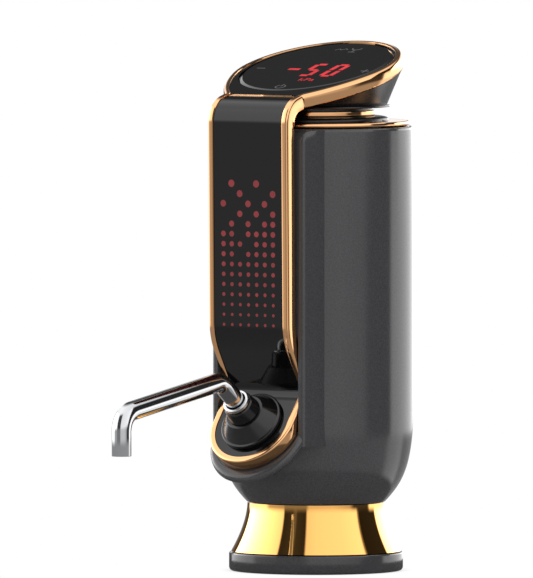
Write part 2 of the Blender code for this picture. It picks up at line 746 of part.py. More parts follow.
def make_shell():
    """One painted shell: a round body, the column on its front and the chin under the platform."""
    top = BODY_TOP
    outline = [(0, BODY_BOTTOM), *body_profile(0)]
    for step in range(ARC_STEPS // 2 + 1):
        angle = (pi / 2) * step / (ARC_STEPS // 2)
        outline.append((BODY_RADIUS - BODY_EDGE * (1 - cos(angle)), top - BODY_EDGE * (1 - sin(angle))))
    outline.append((0, top))
    shell = turned("outer_shell", outline, GRAPHITE, AXIS)
    layers = [(COLUMN_FOOT, COLUMN_FRONT)]
    for step in range(ARC_STEPS):
        angle = (pi / 2) * step / (ARC_STEPS - 1)
        up = top - CLEARANCE - COLUMN_TOP_ROUND * (1 - sin(angle))
        layers.append((up, COLUMN_FRONT - COLUMN_TOP_ROUND * (1 - cos(angle))))
    column = lofted(
        "shell_column",
        [[place(*point, up) for point in column_outline(front)] for up, front in layers],
        GRAPHITE,
        AXIS,
    )
    seat = TRIM_DEPTH + CLEARANCE
    face = TRIM_DEPTH + CLEARANCE / 2
    chin_layers = (
        (CHIN_RADIUS - CHIN_EDGE, face),
        (CHIN_RADIUS - CHIN_EDGE * (1 - sin(pi / 4)), face + CHIN_EDGE * (1 - cos(pi / 4))),
        (CHIN_RADIUS, face + CHIN_EDGE),
        (CHIN_RADIUS, face + CHIN_DEPTH),
        (CHIN_ROOT_RADIUS, face + CHIN_ROOT_DEPTH),
    )
    chin = lofted("shell_chin", [chin_loop(*layer) for layer in chin_layers], GRAPHITE, AXIS)
    join(shell, column, chin)
    cut(shell, shell_cavity(), ribbon_channel(seat))
    drill = spout_drill("shell_drill", PIPE_RADIUS + CLEARANCE, -PIPE_DEPTH, OVERRUN)
    hole_top = BODY_BOTTOM + FLOOR_THICKNESS + OVERRUN
    hole_outline = [(0, 0), (FLOOR_HOLE_RADIUS, 0), (FLOOR_HOLE_RADIUS, hole_top), (0, hole_top)]
    hole = turned("floor_hole", hole_outline, GRAPHITE, AXIS)
    slot_ends = (-BODY_RADIUS - OVERRUN, -BODY_RADIUS + BODY_WALL + OVERRUN)
    slot = prism("port_slot", usb_outline(CLEARANCE), *slot_ends, GRAPHITE, AXIS, facing_front)
    cut(shell, drill, hole, slot)


def shell_cavity():
    """Inside of the shell: its outer line moved in by the wall, with a flat front behind the ribbon."""
    floor = BODY_BOTTOM + FLOOR_THICKNESS
    wall = [point for point in body_profile(BODY_WALL) if point[1] > floor]
    start = body_profile(BODY_WALL)
    below = max(point for point in start if point[1] <= floor)
    above = wall[0]
    share = (floor - below[1]) / (above[1] - below[1])
    foot = below[0] + (above[0] - below[0]) * share
    mouth = BODY_TOP + OVERRUN
    outline = [(0, floor), (foot, floor), *wall, (BODY_RADIUS - BODY_WALL, mouth), (0, mouth)]
    cavity = turned("shell_cavity", outline, GRAPHITE, AXIS)
    bm = bmesh.new()
    bm.from_mesh(cavity.data)
    cut_all = bm.verts[:] + bm.edges[:] + bm.faces[:]
    front = place(0, BODY_RADIUS - CAVITY_FRONT_SET, 0)
    bmesh.ops.bisect_plane(bm, geom=cut_all, plane_co=front, plane_no=place(0, 1, 0), clear_outer=True)
    bmesh.ops.holes_fill(bm, edges=[edge for edge in bm.edges if edge.is_boundary])
    bmesh.ops.recalc_face_normals(bm, faces=bm.faces)
    bm.to_mesh(cavity.data)
    bm.free()
    return cavity


def ribbon_channel(seat):
    """Channel that lets the ribbon dip into the column above the platform, open to the front."""
    half = RIBBON_HALF_WIDTH + CLEARANCE
    low = RIBBON.length - (DIP_START_HEIGHT - platform_centre.y) - DIP_BEND
    rows = [(distance, half) for distance in RIBBON.stations(low, RIBBON.length)]
    for step in range(1, ROUND_STEPS // 4):
        angle = (pi / 2) * step / (ROUND_STEPS // 4)
        rows.append((RIBBON.length + half * sin(angle), half * cos(angle)))
    clear_of = platform_centre.x + half + OVERRUN
    loops = []
    for distance, side in rows:
        point, _, normal = RIBBON.frame(distance)
        back = point - normal * seat
        corners = ((-side, back.x), (side, back.x), (side, clear_of), (-side, clear_of))
        loops.append([place(across, forward, back.y) for across, forward in corners])
    return lofted("ribbon_channel", loops, GRAPHITE, AXIS)


def flare(share):
    """Radius of the skirt at a share of its height."""
    return SKIRT_TOP_RADIUS + (SKIRT_FOOT_RADIUS - SKIRT_TOP_RADIUS) * (1 - share) ** SKIRT_POWER


def make_base():
    """Weighted ring, gold skirt, the core that joins them to the body, and four screws from below."""
    ring = turned(
        "base_ring",
        filleted(
            [
                (BASE_BORE, 0, 0),
                (BASE_RADIUS, 0, BASE_EDGE),
                (BASE_RADIUS, BASE_HEIGHT, BASE_TOP_EDGE),
                (BASE_BORE, BASE_HEIGHT, 0),
            ],
            ARC_STEPS // 2,
        ),
        GRAPHITE,
        AXIS,
    )
    low = BASE_HEIGHT + CLEARANCE
    high = BODY_BOTTOM - CLEARANCE
    shares = [step / SKIRT_STEPS for step in range(SKIRT_STEPS + 1)]
    outer = [(flare(share), low + (high - low) * share) for share in shares]
    inner = [(radius - SKIRT_WALL, up) for radius, up in outer]
    turned("base_skirt", outer + inner[::-1], GOLD, AXIS)
    gap = SKIRT_WALL + CLEARANCE
    bore = SEAL_RADIUS + CLEARANCE
    core_outline = [(radius - gap, up) for radius, up in outer[::2]] + [(bore, high), (bore, low)]
    core = turned("base_core", core_outline, SATIN_BLACK, AXIS)
    for index in range(SCREW_COUNT):
        angle = 2 * pi * (index + 1 / 2) / SCREW_COUNT
        centre = Vector((SCREW_CIRCLE * cos(angle), SCREW_CIRCLE * sin(angle), 0))
        spot = empty("screw_axis_" + str(index + 1), centre, parent=AXIS)
        head_top = SCREW_HEAD_SET + SCREW_HEAD_HEIGHT
        outline = [(0, SCREW_HEAD_SET), (SCREW_HEAD_RADIUS, SCREW_HEAD_SET), (SCREW_HEAD_RADIUS, head_top)]
        screw_end = head_top + SCREW_LENGTH
        outline += [(SCREW_RADIUS, head_top), (SCREW_RADIUS, screw_end), (0, screw_end)]
        turned("base_screw_" + str(index + 1), outline, STEEL, spot, SMALL_STEPS // 2)
        seat_radius = SCREW_HEAD_RADIUS + CLEARANCE
        hole_radius = SCREW_RADIUS + CLEARANCE
        seat_top = head_top + CLEARANCE
        hole_top = seat_top + SCREW_LENGTH
        drill = [(0, -OVERRUN), (seat_radius, -OVERRUN), (seat_radius, seat_top)]
        drill += [(hole_radius, seat_top), (hole_radius, hole_top), (0, hole_top)]
        tool = turned("screw_drill_" + str(index + 1), drill, STEEL, spot, SMALL_STEPS // 2)
        cut(ring, tool)
        cut(core, tool)


def make_bottle_seal():
    """Silicone sleeve that grips the bottle's neck, the plate above it, and the two ports through them."""
    ceiling = SEAL_TOP - SEAL_CEILING
    outline = [(0, SEAL_TOP), (SEAL_RADIUS, SEAL_TOP), (SEAL_RADIUS, SEAL_BOTTOM), (SEAL_MOUTH, SEAL_BOTTOM)]
    pitch = (ceiling - SEAL_BOTTOM) / (SEAL_RIBS + 1)
    for index in range(SEAL_RIBS):
        middle = SEAL_BOTTOM + pitch * (index + 1)
        wide = SEAL_BORE + SEAL_RIB
        outline += [(wide, middle - SEAL_RIB), (SEAL_BORE, middle), (wide, middle + SEAL_RIB)]
    outline += [(SEAL_BORE + SEAL_RIB, ceiling), (0, ceiling)]
    seal = turned("bottle_seal", outline, SILICONE, AXIS, ROUND_STEPS * 2 // 3)
    plate_low = BODY_BOTTOM + FLOOR_THICKNESS + CLEARANCE
    spigot = FLOOR_HOLE_RADIUS - CLEARANCE
    plate_high = plate_low + PLATE_THICKNESS
    plate_outline = [(0, BODY_BOTTOM), (spigot, BODY_BOTTOM), (spigot, plate_low)]
    plate_outline += [(PLATE_RADIUS, plate_low), (PLATE_RADIUS, plate_high), (0, plate_high)]
    plate = turned("bottom_plate", plate_outline, SATIN_BLACK, AXIS, ROUND_STEPS * 2 // 3)
    for name, side, forward in (("suction_inlet", 0, 0), ("air_port", AIR_PORT_SIDE, AIR_PORT_FORWARD)):
        spot = empty(name + "_axis", place(side, forward, 0), parent=AXIS)
        low = ceiling - PORT_REACH
        collar_low = plate_high + CLEARANCE
        high = collar_low + PORT_RISE
        outline = [(PORT_BORE, low), (PORT_RADIUS, low), (PORT_RADIUS, collar_low), (PORT_COLLAR, collar_low)]
        collar_high = collar_low + PORT_COLLAR_HEIGHT
        outline += [(PORT_COLLAR, collar_high), (PORT_RADIUS, collar_high)]
        outline += [(PORT_RADIUS, high), (PORT_BORE, high)]
        turned(name, outline, STEEL, spot, SMALL_STEPS * 2 // 3)
        radius = PORT_RADIUS + CLEARANCE
        hole = [(0, 0), (radius, 0), (radius, high), (0, high)]
        tool = turned(name + "_drill", hole, STEEL, spot, SMALL_STEPS)
        cut(seal, tool)
        cut(plate, tool)


def spout_line():
    """Centre line of the spout tube in the mirror plane: up the boss, out over the glass, down to the tip."""
    line = RibbonLine(
        (
            (*(spout_foot + platform_normal * SPOUT_START), 0.0),
            (*spout_corner, SPOUT_BEND),
            (*spout_end_corner, SPOUT_BEND),
            (*spout_tip, 0.0),
        )
    )
    return line, line.stations(0.0, line.length)


def make_spout():
    """Black boss on the platform, its collar, and the steel tube with its ring, which swivels in them."""
    foot = PANEL_SET + CLEARANCE
    bore = SPOUT_RADIUS + CLEARANCE
    boss_low = CLEARANCE
    boss = [
        (bore, boss_low, 0),
        (BOSS_FOOT_RADIUS, boss_low, 0),
        (BOSS_FOOT_RADIUS, boss_low + BOSS_FOOT_HEIGHT, BOSS_EDGE),
        (BOSS_CONE_RADIUS, boss_low + BOSS_FOOT_HEIGHT, 0),
        (BOSS_NECK_RADIUS, boss_low + BOSS_HEIGHT, BOSS_EDGE),
        (bore, boss_low + BOSS_HEIGHT, 0),
    ]
    turned("spout_boss", filleted(boss, 2), SATIN_BLACK, SPOUT_AXIS)
    collar_low = boss_low + BOSS_HEIGHT + CLEARANCE
    collar_high = collar_low + COLLAR_HEIGHT
    groove = bore + SEAL_RING_WIDTH + CLEARANCE
    groove_high = collar_low + SEAL_RING_HEIGHT + CLEARANCE
    collar = [
        (groove, collar_low),
        (COLLAR_FOOT_RADIUS, collar_low),
        (COLLAR_RADIUS, collar_high - COLLAR_CHAMFER),
        (COLLAR_RADIUS - COLLAR_CHAMFER, collar_high),
        (bore, collar_high),
        (bore, groove_high),
        (groove, groove_high),
    ]
    turned("spout_collar", collar, SATIN_BLACK, SPOUT_AXIS, SMALL_STEPS * 3 // 2)
    seal = box_outline(SEAL_RING_WIDTH / 2, collar_low, collar_low + SEAL_RING_HEIGHT)
    middle = bore + SEAL_RING_WIDTH / 2
    turned("spout_seal", [(x + middle, y) for x, y in seal], SILICONE, SPOUT_AXIS, SMALL_STEPS)
    ring_low = collar_high + CLEARANCE
    ring_high = ring_low + SPOUT_RING_HEIGHT
    ring = [
        (bore, ring_low, 0),
        (SPOUT_RING_RADIUS, ring_low, 0),
        (SPOUT_RING_RADIUS, ring_high, BOSS_EDGE),
        (bore, ring_high, 0),
    ]
    turned("spout_ring", filleted(ring, 2), STEEL, SPOUT_AXIS, SMALL_STEPS)
    line, distances = spout_line()
    outer, inner = [], []
    for distance in distances:
        point, _, normal = line.frame(distance)
        for radius, loops in ((SPOUT_RADIUS, outer), (SPOUT_BORE, inner)):
            loop = []
            for offset in circle(radius, SMALL_STEPS * 2 // 3):
                spot = point + normal * offset.y
                loop.append(place(offset.x, spot.x, spot.y))
            loops.append(loop)
    lofted("spout_tube", outer + inner[::-1], STEEL, AXIS, closed=True)
    pipe = [(PIPE_BORE, -PIPE_DEPTH), (PIPE_RADIUS, -PIPE_DEPTH)]
    pipe += [(PIPE_RADIUS, PIPE_RISE), (PIPE_BORE, PIPE_RISE)]
    turned("outlet_pipe", pipe, STEEL, SPOUT_AXIS, SMALL_STEPS * 2 // 3)


def usb_outline(grow):
    """Flat oval of the charging socket, grown on every side: (side, up)."""
    half_width = USB_HALF_WIDTH + grow
    half_height = USB_HALF_HEIGHT + grow
    round_off = USB_ROUND + grow
    corners = [
        (-half_width, USB_HEIGHT - half_height, round_off),
        (half_width, USB_HEIGHT - half_height, round_off),
        (half_width, USB_HEIGHT + half_height, round_off),
        (-half_width, USB_HEIGHT + half_height, round_off),
    ]
    return filleted(corners, 2)


def beside_wall(side, radius):
    """Forward place of a round part at a side place, so that it lies a gap from the shell's back wall."""
    room = BODY_RADIUS - BODY_WALL - WORKS_GAP - radius
    return -sqrt(room * room - side * side)


def make_pump(name, low):
    """A small diaphragm pump: motor can, pump head with its chamber, and the eccentric on the motor's shaft."""
    spot = empty(name + "_axis", place(PUMP_SIDE, beside_wall(PUMP_SIDE, PUMP_HEAD_RADIUS), low), parent=AXIS)
    can = [(0, 0, 0), (MOTOR_RADIUS, 0, MOTOR_EDGE), (MOTOR_RADIUS, MOTOR_LENGTH, MOTOR_EDGE)]
    shaft_end = MOTOR_LENGTH + SHAFT_LENGTH
    can += [(SHAFT_RADIUS, MOTOR_LENGTH, 0), (SHAFT_RADIUS, shaft_end, 0), (0, shaft_end, 0)]
    turned(name + "_motor", filleted(can, 2), STEEL, spot, INNER_STEPS)
    head_low = MOTOR_LENGTH + CLEARANCE
    head_high = head_low + PUMP_HEAD_HEIGHT
    chamber_high = head_low + PUMP_CHAMBER_HEIGHT
    head = [(PUMP_CHAMBER_RADIUS, head_low), (PUMP_HEAD_RADIUS, head_low), (PUMP_HEAD_RADIUS, head_high)]
    nipple_high = head_high + PUMP_NIPPLE_HEIGHT
    head += [(PUMP_NIPPLE_RADIUS, head_high), (PUMP_NIPPLE_RADIUS, nipple_high), (0, nipple_high)]
    head += [(0, chamber_high), (PUMP_CHAMBER_RADIUS, chamber_high)]
    turned(name + "_head", head, WHITE_PLASTIC, spot, INNER_STEPS)
    cam_low = MOTOR_LENGTH + 2 * CLEARANCE
    cam_high = cam_low + CAM_HEIGHT
    outer = [point + Vector((CAM_OFFSET, 0)) for point in circle(CAM_RADIUS, INNER_STEPS)]
    inner = circle(SHAFT_RADIUS + CLEARANCE, INNER_STEPS)
    loops = [
        [Vector((*point, cam_low)) for point in outer],
        [Vector((*point, cam_high)) for point in outer],
        [Vector((*point, cam_high)) for point in inner],
        [Vector((*point, cam_low)) for point in inner],
    ]
    lofted(name + "_eccentric", loops, SATIN_BLACK, spot, closed=True)
    return low + nipple_high


def make_works():
    """Frame plate, battery, boards, pumps and valve inside the shell."""
    floor = BODY_BOTTOM + FLOOR_THICKNESS + CLEARANCE + PLATE_THICKNESS + CLEARANCE
    plug_low = BODY_TOP - NECK_PLUG_DEPTH
    frame = box_outline(FRAME_HALF_WIDTH, floor, plug_low - FRAME_TOP_GAP)
    frame_front = FRAME_FORWARD + FRAME_THICKNESS
    chassis = prism("inner_frame", frame, FRAME_FORWARD, frame_front, WHITE_PLASTIC, AXIS, facing_front)
    rear = asin((FRAME_FORWARD + FRAME_THICKNESS / 2) / SHELF_RADIUS)
    half_disc = []
    for step in range(SMALL_STEPS + 1):
        angle = pi - rear + (pi + 2 * rear) * step / SMALL_STEPS
        half_disc.append(Vector((SHELF_RADIUS * cos(angle), SHELF_RADIUS * sin(angle))))
    shelf_top = SHELF_HEIGHT + SHELF_THICKNESS
    shelf = prism("frame_shelf", half_disc, SHELF_HEIGHT, shelf_top, WHITE_PLASTIC, AXIS, upright)
    join(chassis, shelf)
    opening = box_outline(WINDOW_HALF_WIDTH, WINDOW_BACK, FRAME_FORWARD + FRAME_THICKNESS + OVERRUN)
    cut(chassis, prism("hose_window", opening, floor - OVERRUN, WINDOW_TOP, WHITE_PLASTIC, AXIS, upright))
    stand = shelf_top + CLEARANCE
    board_low = floor + MAIN_BOARD_RISE
    board_back = frame_front + CLEARANCE
    valve_low = plug_low - VALVE_TOP_GAP - VALVE_HEIGHT
    board = box_outline(MAIN_BOARD_HALF_WIDTH, board_low, valve_low - CLEARANCE)
    board_front = board_back + PCB_THICKNESS
    prism("main_board", board, board_back, board_front, CIRCUIT, AXIS, facing_front)
    led_top = BODY_TOP - LED_BOARD_TOP_GAP
    led = box_outline(LED_BOARD_HALF_WIDTH, led_top - LED_BOARD_HEIGHT, led_top)
    led_back = COLUMN_FRONT + CLEARANCE
    prism("led_board", led, led_back, led_back + LED_BOARD_THICKNESS, CIRCUIT, AXIS, facing_front)
    behind = beside_wall(BATTERY_SIDE, BATTERY_RADIUS)
    spot = empty("battery_axis", place(BATTERY_SIDE, behind, stand), parent=AXIS)
    cell = [(0, 0), (BATTERY_RADIUS, 0), (BATTERY_RADIUS, BATTERY_LENGTH), (BATTERY_CAP_RADIUS, BATTERY_LENGTH)]
    cap_top = BATTERY_LENGTH + BATTERY_CAP_HEIGHT
    cell += [(BATTERY_CAP_RADIUS, cap_top), (0, cap_top)]
    turned("battery", cell, CELL_WRAP, spot, INNER_STEPS)
    above = make_pump("air_pump", stand)
    make_pump("vacuum_pump", above + CLEARANCE)
    make_valve(frame_front + CLEARANCE, valve_low)
    make_hose("wine_hose", WINE_HOSE_ROUTE)
    rise = valve_low - AIR_HOSE_GAP - AIR_HOSE_FOOT
    route = [(side, forward, AIR_HOSE_FOOT + rise * share) for side, forward, share in AIR_HOSE_ROUTE]
    make_hose("air_hose", route)
    make_port()


def make_valve(back, base):
    """Solenoid valve above the main board, with its plunger in an open bore."""
    outline = box_outline(VALVE_HALF_WIDTH, back, back + VALVE_DEPTH)
    body = prism("valve_body", outline, base, base + VALVE_HEIGHT, SATIN_BLACK, AXIS, upright)
    top = base + VALVE_HEIGHT
    spot = empty("valve_axis", place(0, back + VALVE_DEPTH / 2, top - VALVE_BORE_DEPTH), parent=AXIS)
    drill_top = VALVE_BORE_DEPTH + OVERRUN
    drill = [(0, 0), (VALVE_BORE, 0), (VALVE_BORE, drill_top), (0, drill_top)]
    bore = turned("valve_drill", drill, STEEL, spot, SMALL_STEPS)
    cut(body, bore)
    plunger = [(0, CLEARANCE), (PLUNGER_RADIUS, CLEARANCE)]
    plunger += [(PLUNGER_RADIUS, PLUNGER_LENGTH), (0, PLUNGER_LENGTH)]
    turned("valve_plunger", plunger, STEEL, spot, INNER_STEPS)


def make_hose(name, route):
    """A soft hose pushed over the ports at its ends, as a smooth line through its route."""
    curve = bpy.data.curves.new(name, "CURVE")
    curve.dimensions = "3D"
    curve.bevel_depth = HOSE_RADIUS
    curve.bevel_resolution = 2
    curve.use_fill_caps = True
    curve.resolution_u = 3
    spline = curve.splines.new("BEZIER")
    spline.bezier_points.add(len(route) - 1)
    for point, (side, forward, up) in zip(spline.bezier_points, route):
        point.co = place(side, forward, up)
        point.handle_left_type = point.handle_right_type = "AUTO"
    obj = bpy.data.objects.new(name, curve)
    bpy.context.scene.collection.objects.link(obj)
    obj.parent = AXIS
    curve.materials.append(material_of(name + "_finish", CLEAR_HOSE))


def make_port():
    """Charging socket in the shell's back wall and the small board it is soldered to."""
    outer_end = -BODY_RADIUS + USB_SET
    inner_end = outer_end + USB_LENGTH
    socket = prism("charge_port", usb_outline(0), outer_end, inner_end, STEEL, AXIS, facing_front)
    mouth_ends = (outer_end - OVERRUN, inner_end - USB_WALL * 4)
    mouth = prism("port_mouth", usb_outline(-USB_WALL), *mouth_ends, STEEL, AXIS, facing_front)
    cut(socket, mouth)
    half = CHARGE_BOARD_HEIGHT / 2
    board = box_outline(CHARGE_BOARD_HALF_WIDTH, USB_HEIGHT - half, USB_HEIGHT + half)
    back = inner_end + CLEARANCE
    prism("charge_board", board, back, back + BOARD_THICKNESS, CIRCUIT, AXIS, facing_front)


make_shell()
make_ribbon()
make_head()
make_housing()
make_neck()
make_base()
make_bottle_seal()
make_spout()
make_works()
print("body axis", round(-AXIS.location.y, 6), "spout foot", [round(value, 6) for value in spout_foot])
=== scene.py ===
# %% [markdown]
# # Dressing a wine dispenser
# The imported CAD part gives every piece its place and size. This lesson rebuilds the pieces that show with
# finer edges and real finishes, then lights them. All lengths below are in millimetres until a piece is
# finished.

import json
from math import acos, cos, pi, radians, sin, sqrt, tan

import bmesh
import bpy
from mathutils import Matrix, Vector


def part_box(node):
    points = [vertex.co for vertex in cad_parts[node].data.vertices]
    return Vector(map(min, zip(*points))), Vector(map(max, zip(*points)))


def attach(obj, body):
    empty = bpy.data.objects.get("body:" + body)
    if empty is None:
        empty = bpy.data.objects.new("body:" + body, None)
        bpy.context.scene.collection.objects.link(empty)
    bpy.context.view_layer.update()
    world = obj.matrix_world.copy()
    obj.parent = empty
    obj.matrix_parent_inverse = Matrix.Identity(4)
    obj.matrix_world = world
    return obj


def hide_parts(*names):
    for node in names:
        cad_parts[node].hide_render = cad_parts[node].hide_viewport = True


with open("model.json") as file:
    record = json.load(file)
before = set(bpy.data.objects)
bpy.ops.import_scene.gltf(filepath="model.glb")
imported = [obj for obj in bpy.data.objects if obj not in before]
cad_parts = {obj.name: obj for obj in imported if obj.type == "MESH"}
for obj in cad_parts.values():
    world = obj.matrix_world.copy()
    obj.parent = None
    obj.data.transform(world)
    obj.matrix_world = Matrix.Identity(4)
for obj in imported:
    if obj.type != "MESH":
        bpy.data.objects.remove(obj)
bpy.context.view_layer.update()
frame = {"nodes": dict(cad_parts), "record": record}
nodes = frame["nodes"]
MM = 0.001

# %% [markdown]
# The unit was drawn from its round body's axis: forward, side and up. The frame's origin is the middle of
# the footprint instead, so one helper turns the drawing's numbers into places. The body's axis is the
# middle of the neck ring, which the frame can tell us.

# %% Where the body's axis stands
ring_low, ring_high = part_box("neck_ring")
AXIS_Y = (ring_low[1] + ring_high[1]) / 2 / MM


def spot(side, forward, up):
    """A place in millimetres, from the drawing's side, forward and up."""
    return Vector((side, AXIS_Y - forward, up))


print("axis y", round(AXIS_Y, 3))

# %% [markdown]
# ## Camera
# The photograph was taken from far away with a long lens, almost level, with the front turned to the left.
# A long lens keeps upright lines parallel, so the camera goes six metres back and looks through a very
# narrow angle.

# %% Camera
TURN = radians(35.5)
RISE = radians(2.6)
PIXEL = 1 / 3.233
FRAME_W, FRAME_H = 533, 578
LENS, SENSOR = 1200, 36

camera_data = bpy.data.cameras.new("camera")
camera = bpy.data.objects.new("camera", camera_data)
bpy.context.scene.collection.objects.link(camera)
bpy.context.scene.camera = camera
camera_data.lens = LENS
camera_data.sensor_width = SENSOR
distance = FRAME_H * PIXEL / 2 / (SENSOR / 2 / LENS)
toward = Vector((sin(TURN) * cos(RISE), -cos(TURN) * cos(RISE), sin(RISE)))
right = Vector((cos(TURN), sin(TURN), 0))
upward = toward.cross(right)
centre_x, foot_y = 316.0, 570.0
aside, above = (FRAME_W / 2 - centre_x) * PIXEL, (foot_y - FRAME_H / 2) * PIXEL
aim = Vector((0, AXIS_Y, 0)) + right * aside + upward * above
camera.location = (aim + toward * distance) * MM
camera.rotation_euler = (-toward).to_track_quat("-Z", "Y").to_euler()
camera_data.clip_start, camera_data.clip_end = 0.1, 60
print("camera", [round(value, 2) for value in camera.location])

# %% [markdown]
# ## Helpers for materials
# Colours are picked as sRGB hex values, as a paint chart gives them, but shaders mix light, which is
# linear. One function converts them, and one function adds a node with its settings and its links.


# %% Colour and node helpers
def colour(hex_value, alpha=1.0):
    """An sRGB hex colour as linear light."""
    parts = [int(hex_value[i : i + 2], 16) / 255 for i in (1, 3, 5)]
    linear = [c / 12.92 if c <= 0.04045 else ((c + 0.055) / 1.055) ** 2.4 for c in parts]
    return (*linear, alpha)


def add(tree, kind, inputs=None, stops=(), to=None, **settings):
    """Adds one node. inputs maps a socket to a value or to another node's output, stops are a colour ramp's
    (position, colour) pairs, and to is the socket that the first output feeds."""
    node = tree.nodes.new("ShaderNode" + kind)
    for key, value in settings.items():
        setattr(node, key, value)
    for key, value in (inputs or {}).items():
        if isinstance(value, bpy.types.NodeSocket):
            tree.links.new(value, node.inputs[key])
        else:
            node.inputs[key].default_value = value
    if stops:
        elements = node.color_ramp.elements
        while len(elements) < len(stops):
            elements.new(0.5)
        for element, (position, value) in zip(elements, stops):
            element.position, element.color = position, value
    if to is not None:
        tree.links.new(node.outputs[0], to)
    return node


def span(value, low, high, bottom, top):
    """A Map Range node's settings, which carry low to high over to bottom to top."""
    return {"Value": value, "From Min": low, "From Max": high, "To Min": bottom, "To Max": top}


def new_material(name, **sockets):
    """A Principled material. sockets are the shader's constant values, with _ for a space."""
    material = bpy.data.materials.new(name)
    material.use_nodes = True
    shader = material.node_tree.nodes["Principled BSDF"]
    for key, value in sockets.items():
        shader.inputs[key.replace("_", " ")].default_value = value
    return material, material.node_tree, shader


# %% [markdown]
# ## Finishes outside
# The shell is ABS with a satin charcoal paint that holds fine metal flake. Flake gives many tiny points
# that are lighter and darker than the paint. Real flake is finer than a tenth of a millimetre, so it is
# drawn as coarse as it needs to be to show.

# %% Charcoal flake paint
FLAKE = 0.42


def charcoal_paint(name, base, lift):
    material, tree, shader = new_material(name, IOR=1.5)
    where = add(tree, "TexCoord").outputs["Object"]
    noise = {"Vector": where, "Scale": 1 / (FLAKE * MM), "Detail": 3.0, "Roughness": 0.7}
    flake = add(tree, "TexNoise", noise).outputs[0]
    stops = (0.35, colour(base)), (0.65, colour(lift))
    add(tree, "ValToRGB", {"Fac": flake}, stops, shader.inputs["Base Color"])
    add(tree, "MapRange", span(flake, 0.3, 0.7, 0.10, 0.15), to=shader.inputs["Roughness"])
    relief = {"Height": flake, "Strength": 0.10, "Distance": 0.03 * MM}
    add(tree, "Bump", relief, to=shader.inputs["Normal"])
    return material


shell_paint = charcoal_paint("charcoal_flake_paint", "#3d3d3f", "#4b4b4d")
base_paint = charcoal_paint("charcoal_base_paint", "#3d3d3f", "#4b4b4d")

# %% [markdown]
# The gold parts are metal, polished and then plated with a thin rose gold. Polishing leaves a faint
# waviness and hairline marks, which break up a reflection without dulling it.

# %% Rose gold plate
WAVE, HAIRLINE = 6, 1.2


def plated_gold(name, tint, rough_low, rough_high):
    material, tree, shader = new_material(name, Metallic=1.0, Base_Color=colour(tint))
    where = add(tree, "TexCoord").outputs["Object"]
    wave = add(tree, "TexNoise", {"Vector": where, "Scale": 1 / (WAVE * MM), "Detail": 3.0}).outputs[0]
    add(tree, "MapRange", span(wave, 0.3, 0.7, rough_low, rough_high), to=shader.inputs["Roughness"])
    hair = add(tree, "TexNoise", {"Vector": where, "Scale": 1 / (HAIRLINE * MM), "Detail": 4.0}).outputs[0]
    relief = {"Height": hair, "Strength": 0.04, "Distance": 0.02 * MM}
    add(tree, "Bump", relief, to=shader.inputs["Normal"])
    return material


gold = plated_gold("polished_rose_gold_plate", "#edb581", 0.06, 0.11)
skirt_gold = plated_gold("polished_gold_plate", "#fdbe6c", 0.03, 0.05)

# %% [markdown]
# The ribbon's face is acrylic, cast and polished like a telephone's back: black right through and as smooth
# as glass. The touch disc is real glass with black ink behind it, so its edge picks up a brighter line. A
# faint film in wide patches is all that tells either from a perfect mirror.

# %% Piano black and glass
FILM = 14


def gloss_black(name, base, rough, ior):
    material, tree, shader = new_material(name, IOR=ior, Base_Color=colour(base))
    where = add(tree, "TexCoord").outputs["Object"]
    film = add(tree, "TexNoise", {"Vector": where, "Scale": 1 / (FILM * MM), "Detail": 4.0}).outputs[0]
    add(tree, "MapRange", span(film, 0.35, 0.75, rough, rough * 2.4), to=shader.inputs["Roughness"])
    return material


piano_black = gloss_black("piano_black_acrylic", "#0a0a0b", 0.035, 1.45)
disc_glass = gloss_black("black_backed_glass", "#0c0d0f", 0.03, 1.5)

# %% [markdown]
# Injection moulded plastic and rubber take on the fine spark-eroded grain of the steel mould. One function
# serves them all, with the grain's size in millimetres and its depth as settings.


# %% Moulded plastics and rubbers
def moulded(name, base, rough, grain_mm, strength):
    material, tree, shader = new_material(name, IOR=1.49)
    where = add(tree, "TexCoord").outputs["Object"]
    grain = add(tree, "TexNoise", {"Vector": where, "Scale": 1 / (grain_mm * MM), "Detail": 2.0}).outputs[0]
    low = colour(base)
    high = (*[min(1, channel * 1.25 + 0.001) for channel in low[:3]], 1)
    add(tree, "ValToRGB", {"Fac": grain}, ((0.35, low), (0.7, high)), shader.inputs["Base Color"])
    add(tree, "MapRange", span(grain, 0.3, 0.7, rough * 0.85, rough * 1.15), to=shader.inputs["Roughness"])
    relief = {"Height": grain, "Strength": strength, "Distance": 0.04 * MM}
    add(tree, "Bump", relief, to=shader.inputs["Normal"])
    return material


satin_black = moulded("satin_black_abs", "#161617", 0.30, 0.35, 0.15)
boss_black = moulded("polished_black_abs", "#111112", 0.16, 0.5, 0.05)
white_nylon = moulded("white_nylon", "#c9c7c0", 0.45, 0.5, 0.2)
seal_rubber = moulded("grey_silicone_rubber", "#2c2c2d", 0.62, 0.4, 0.25)
hose_rubber = moulded("milky_silicone_hose", "#b9bdbc", 0.4, 0.6, 0.1)

# %% [markdown]
# The spout is drawn stainless tube, buffed to a mirror. Drawing and buffing leave fine marks, which show
# only as small changes in how sharp a reflection is.

# %% Buffed stainless steel
BUFF_MARK = 0.8


def buffed_steel(name, tint, rough):
    material, tree, shader = new_material(name, Metallic=1.0, Base_Color=colour(tint))
    where = add(tree, "TexCoord").outputs["Object"]
    mark = add(tree, "TexNoise", {"Vector": where, "Scale": 1 / (BUFF_MARK * MM), "Detail": 3.0}).outputs[0]
    add(tree, "MapRange", span(mark, 0.3, 0.7, rough, rough * 1.8), to=shader.inputs["Roughness"])
    return material


steel = buffed_steel("buffed_stainless_steel", "#c9cacc", 0.06)
collar_steel = buffed_steel("satin_stainless_steel", "#d6d7d9", 0.16)

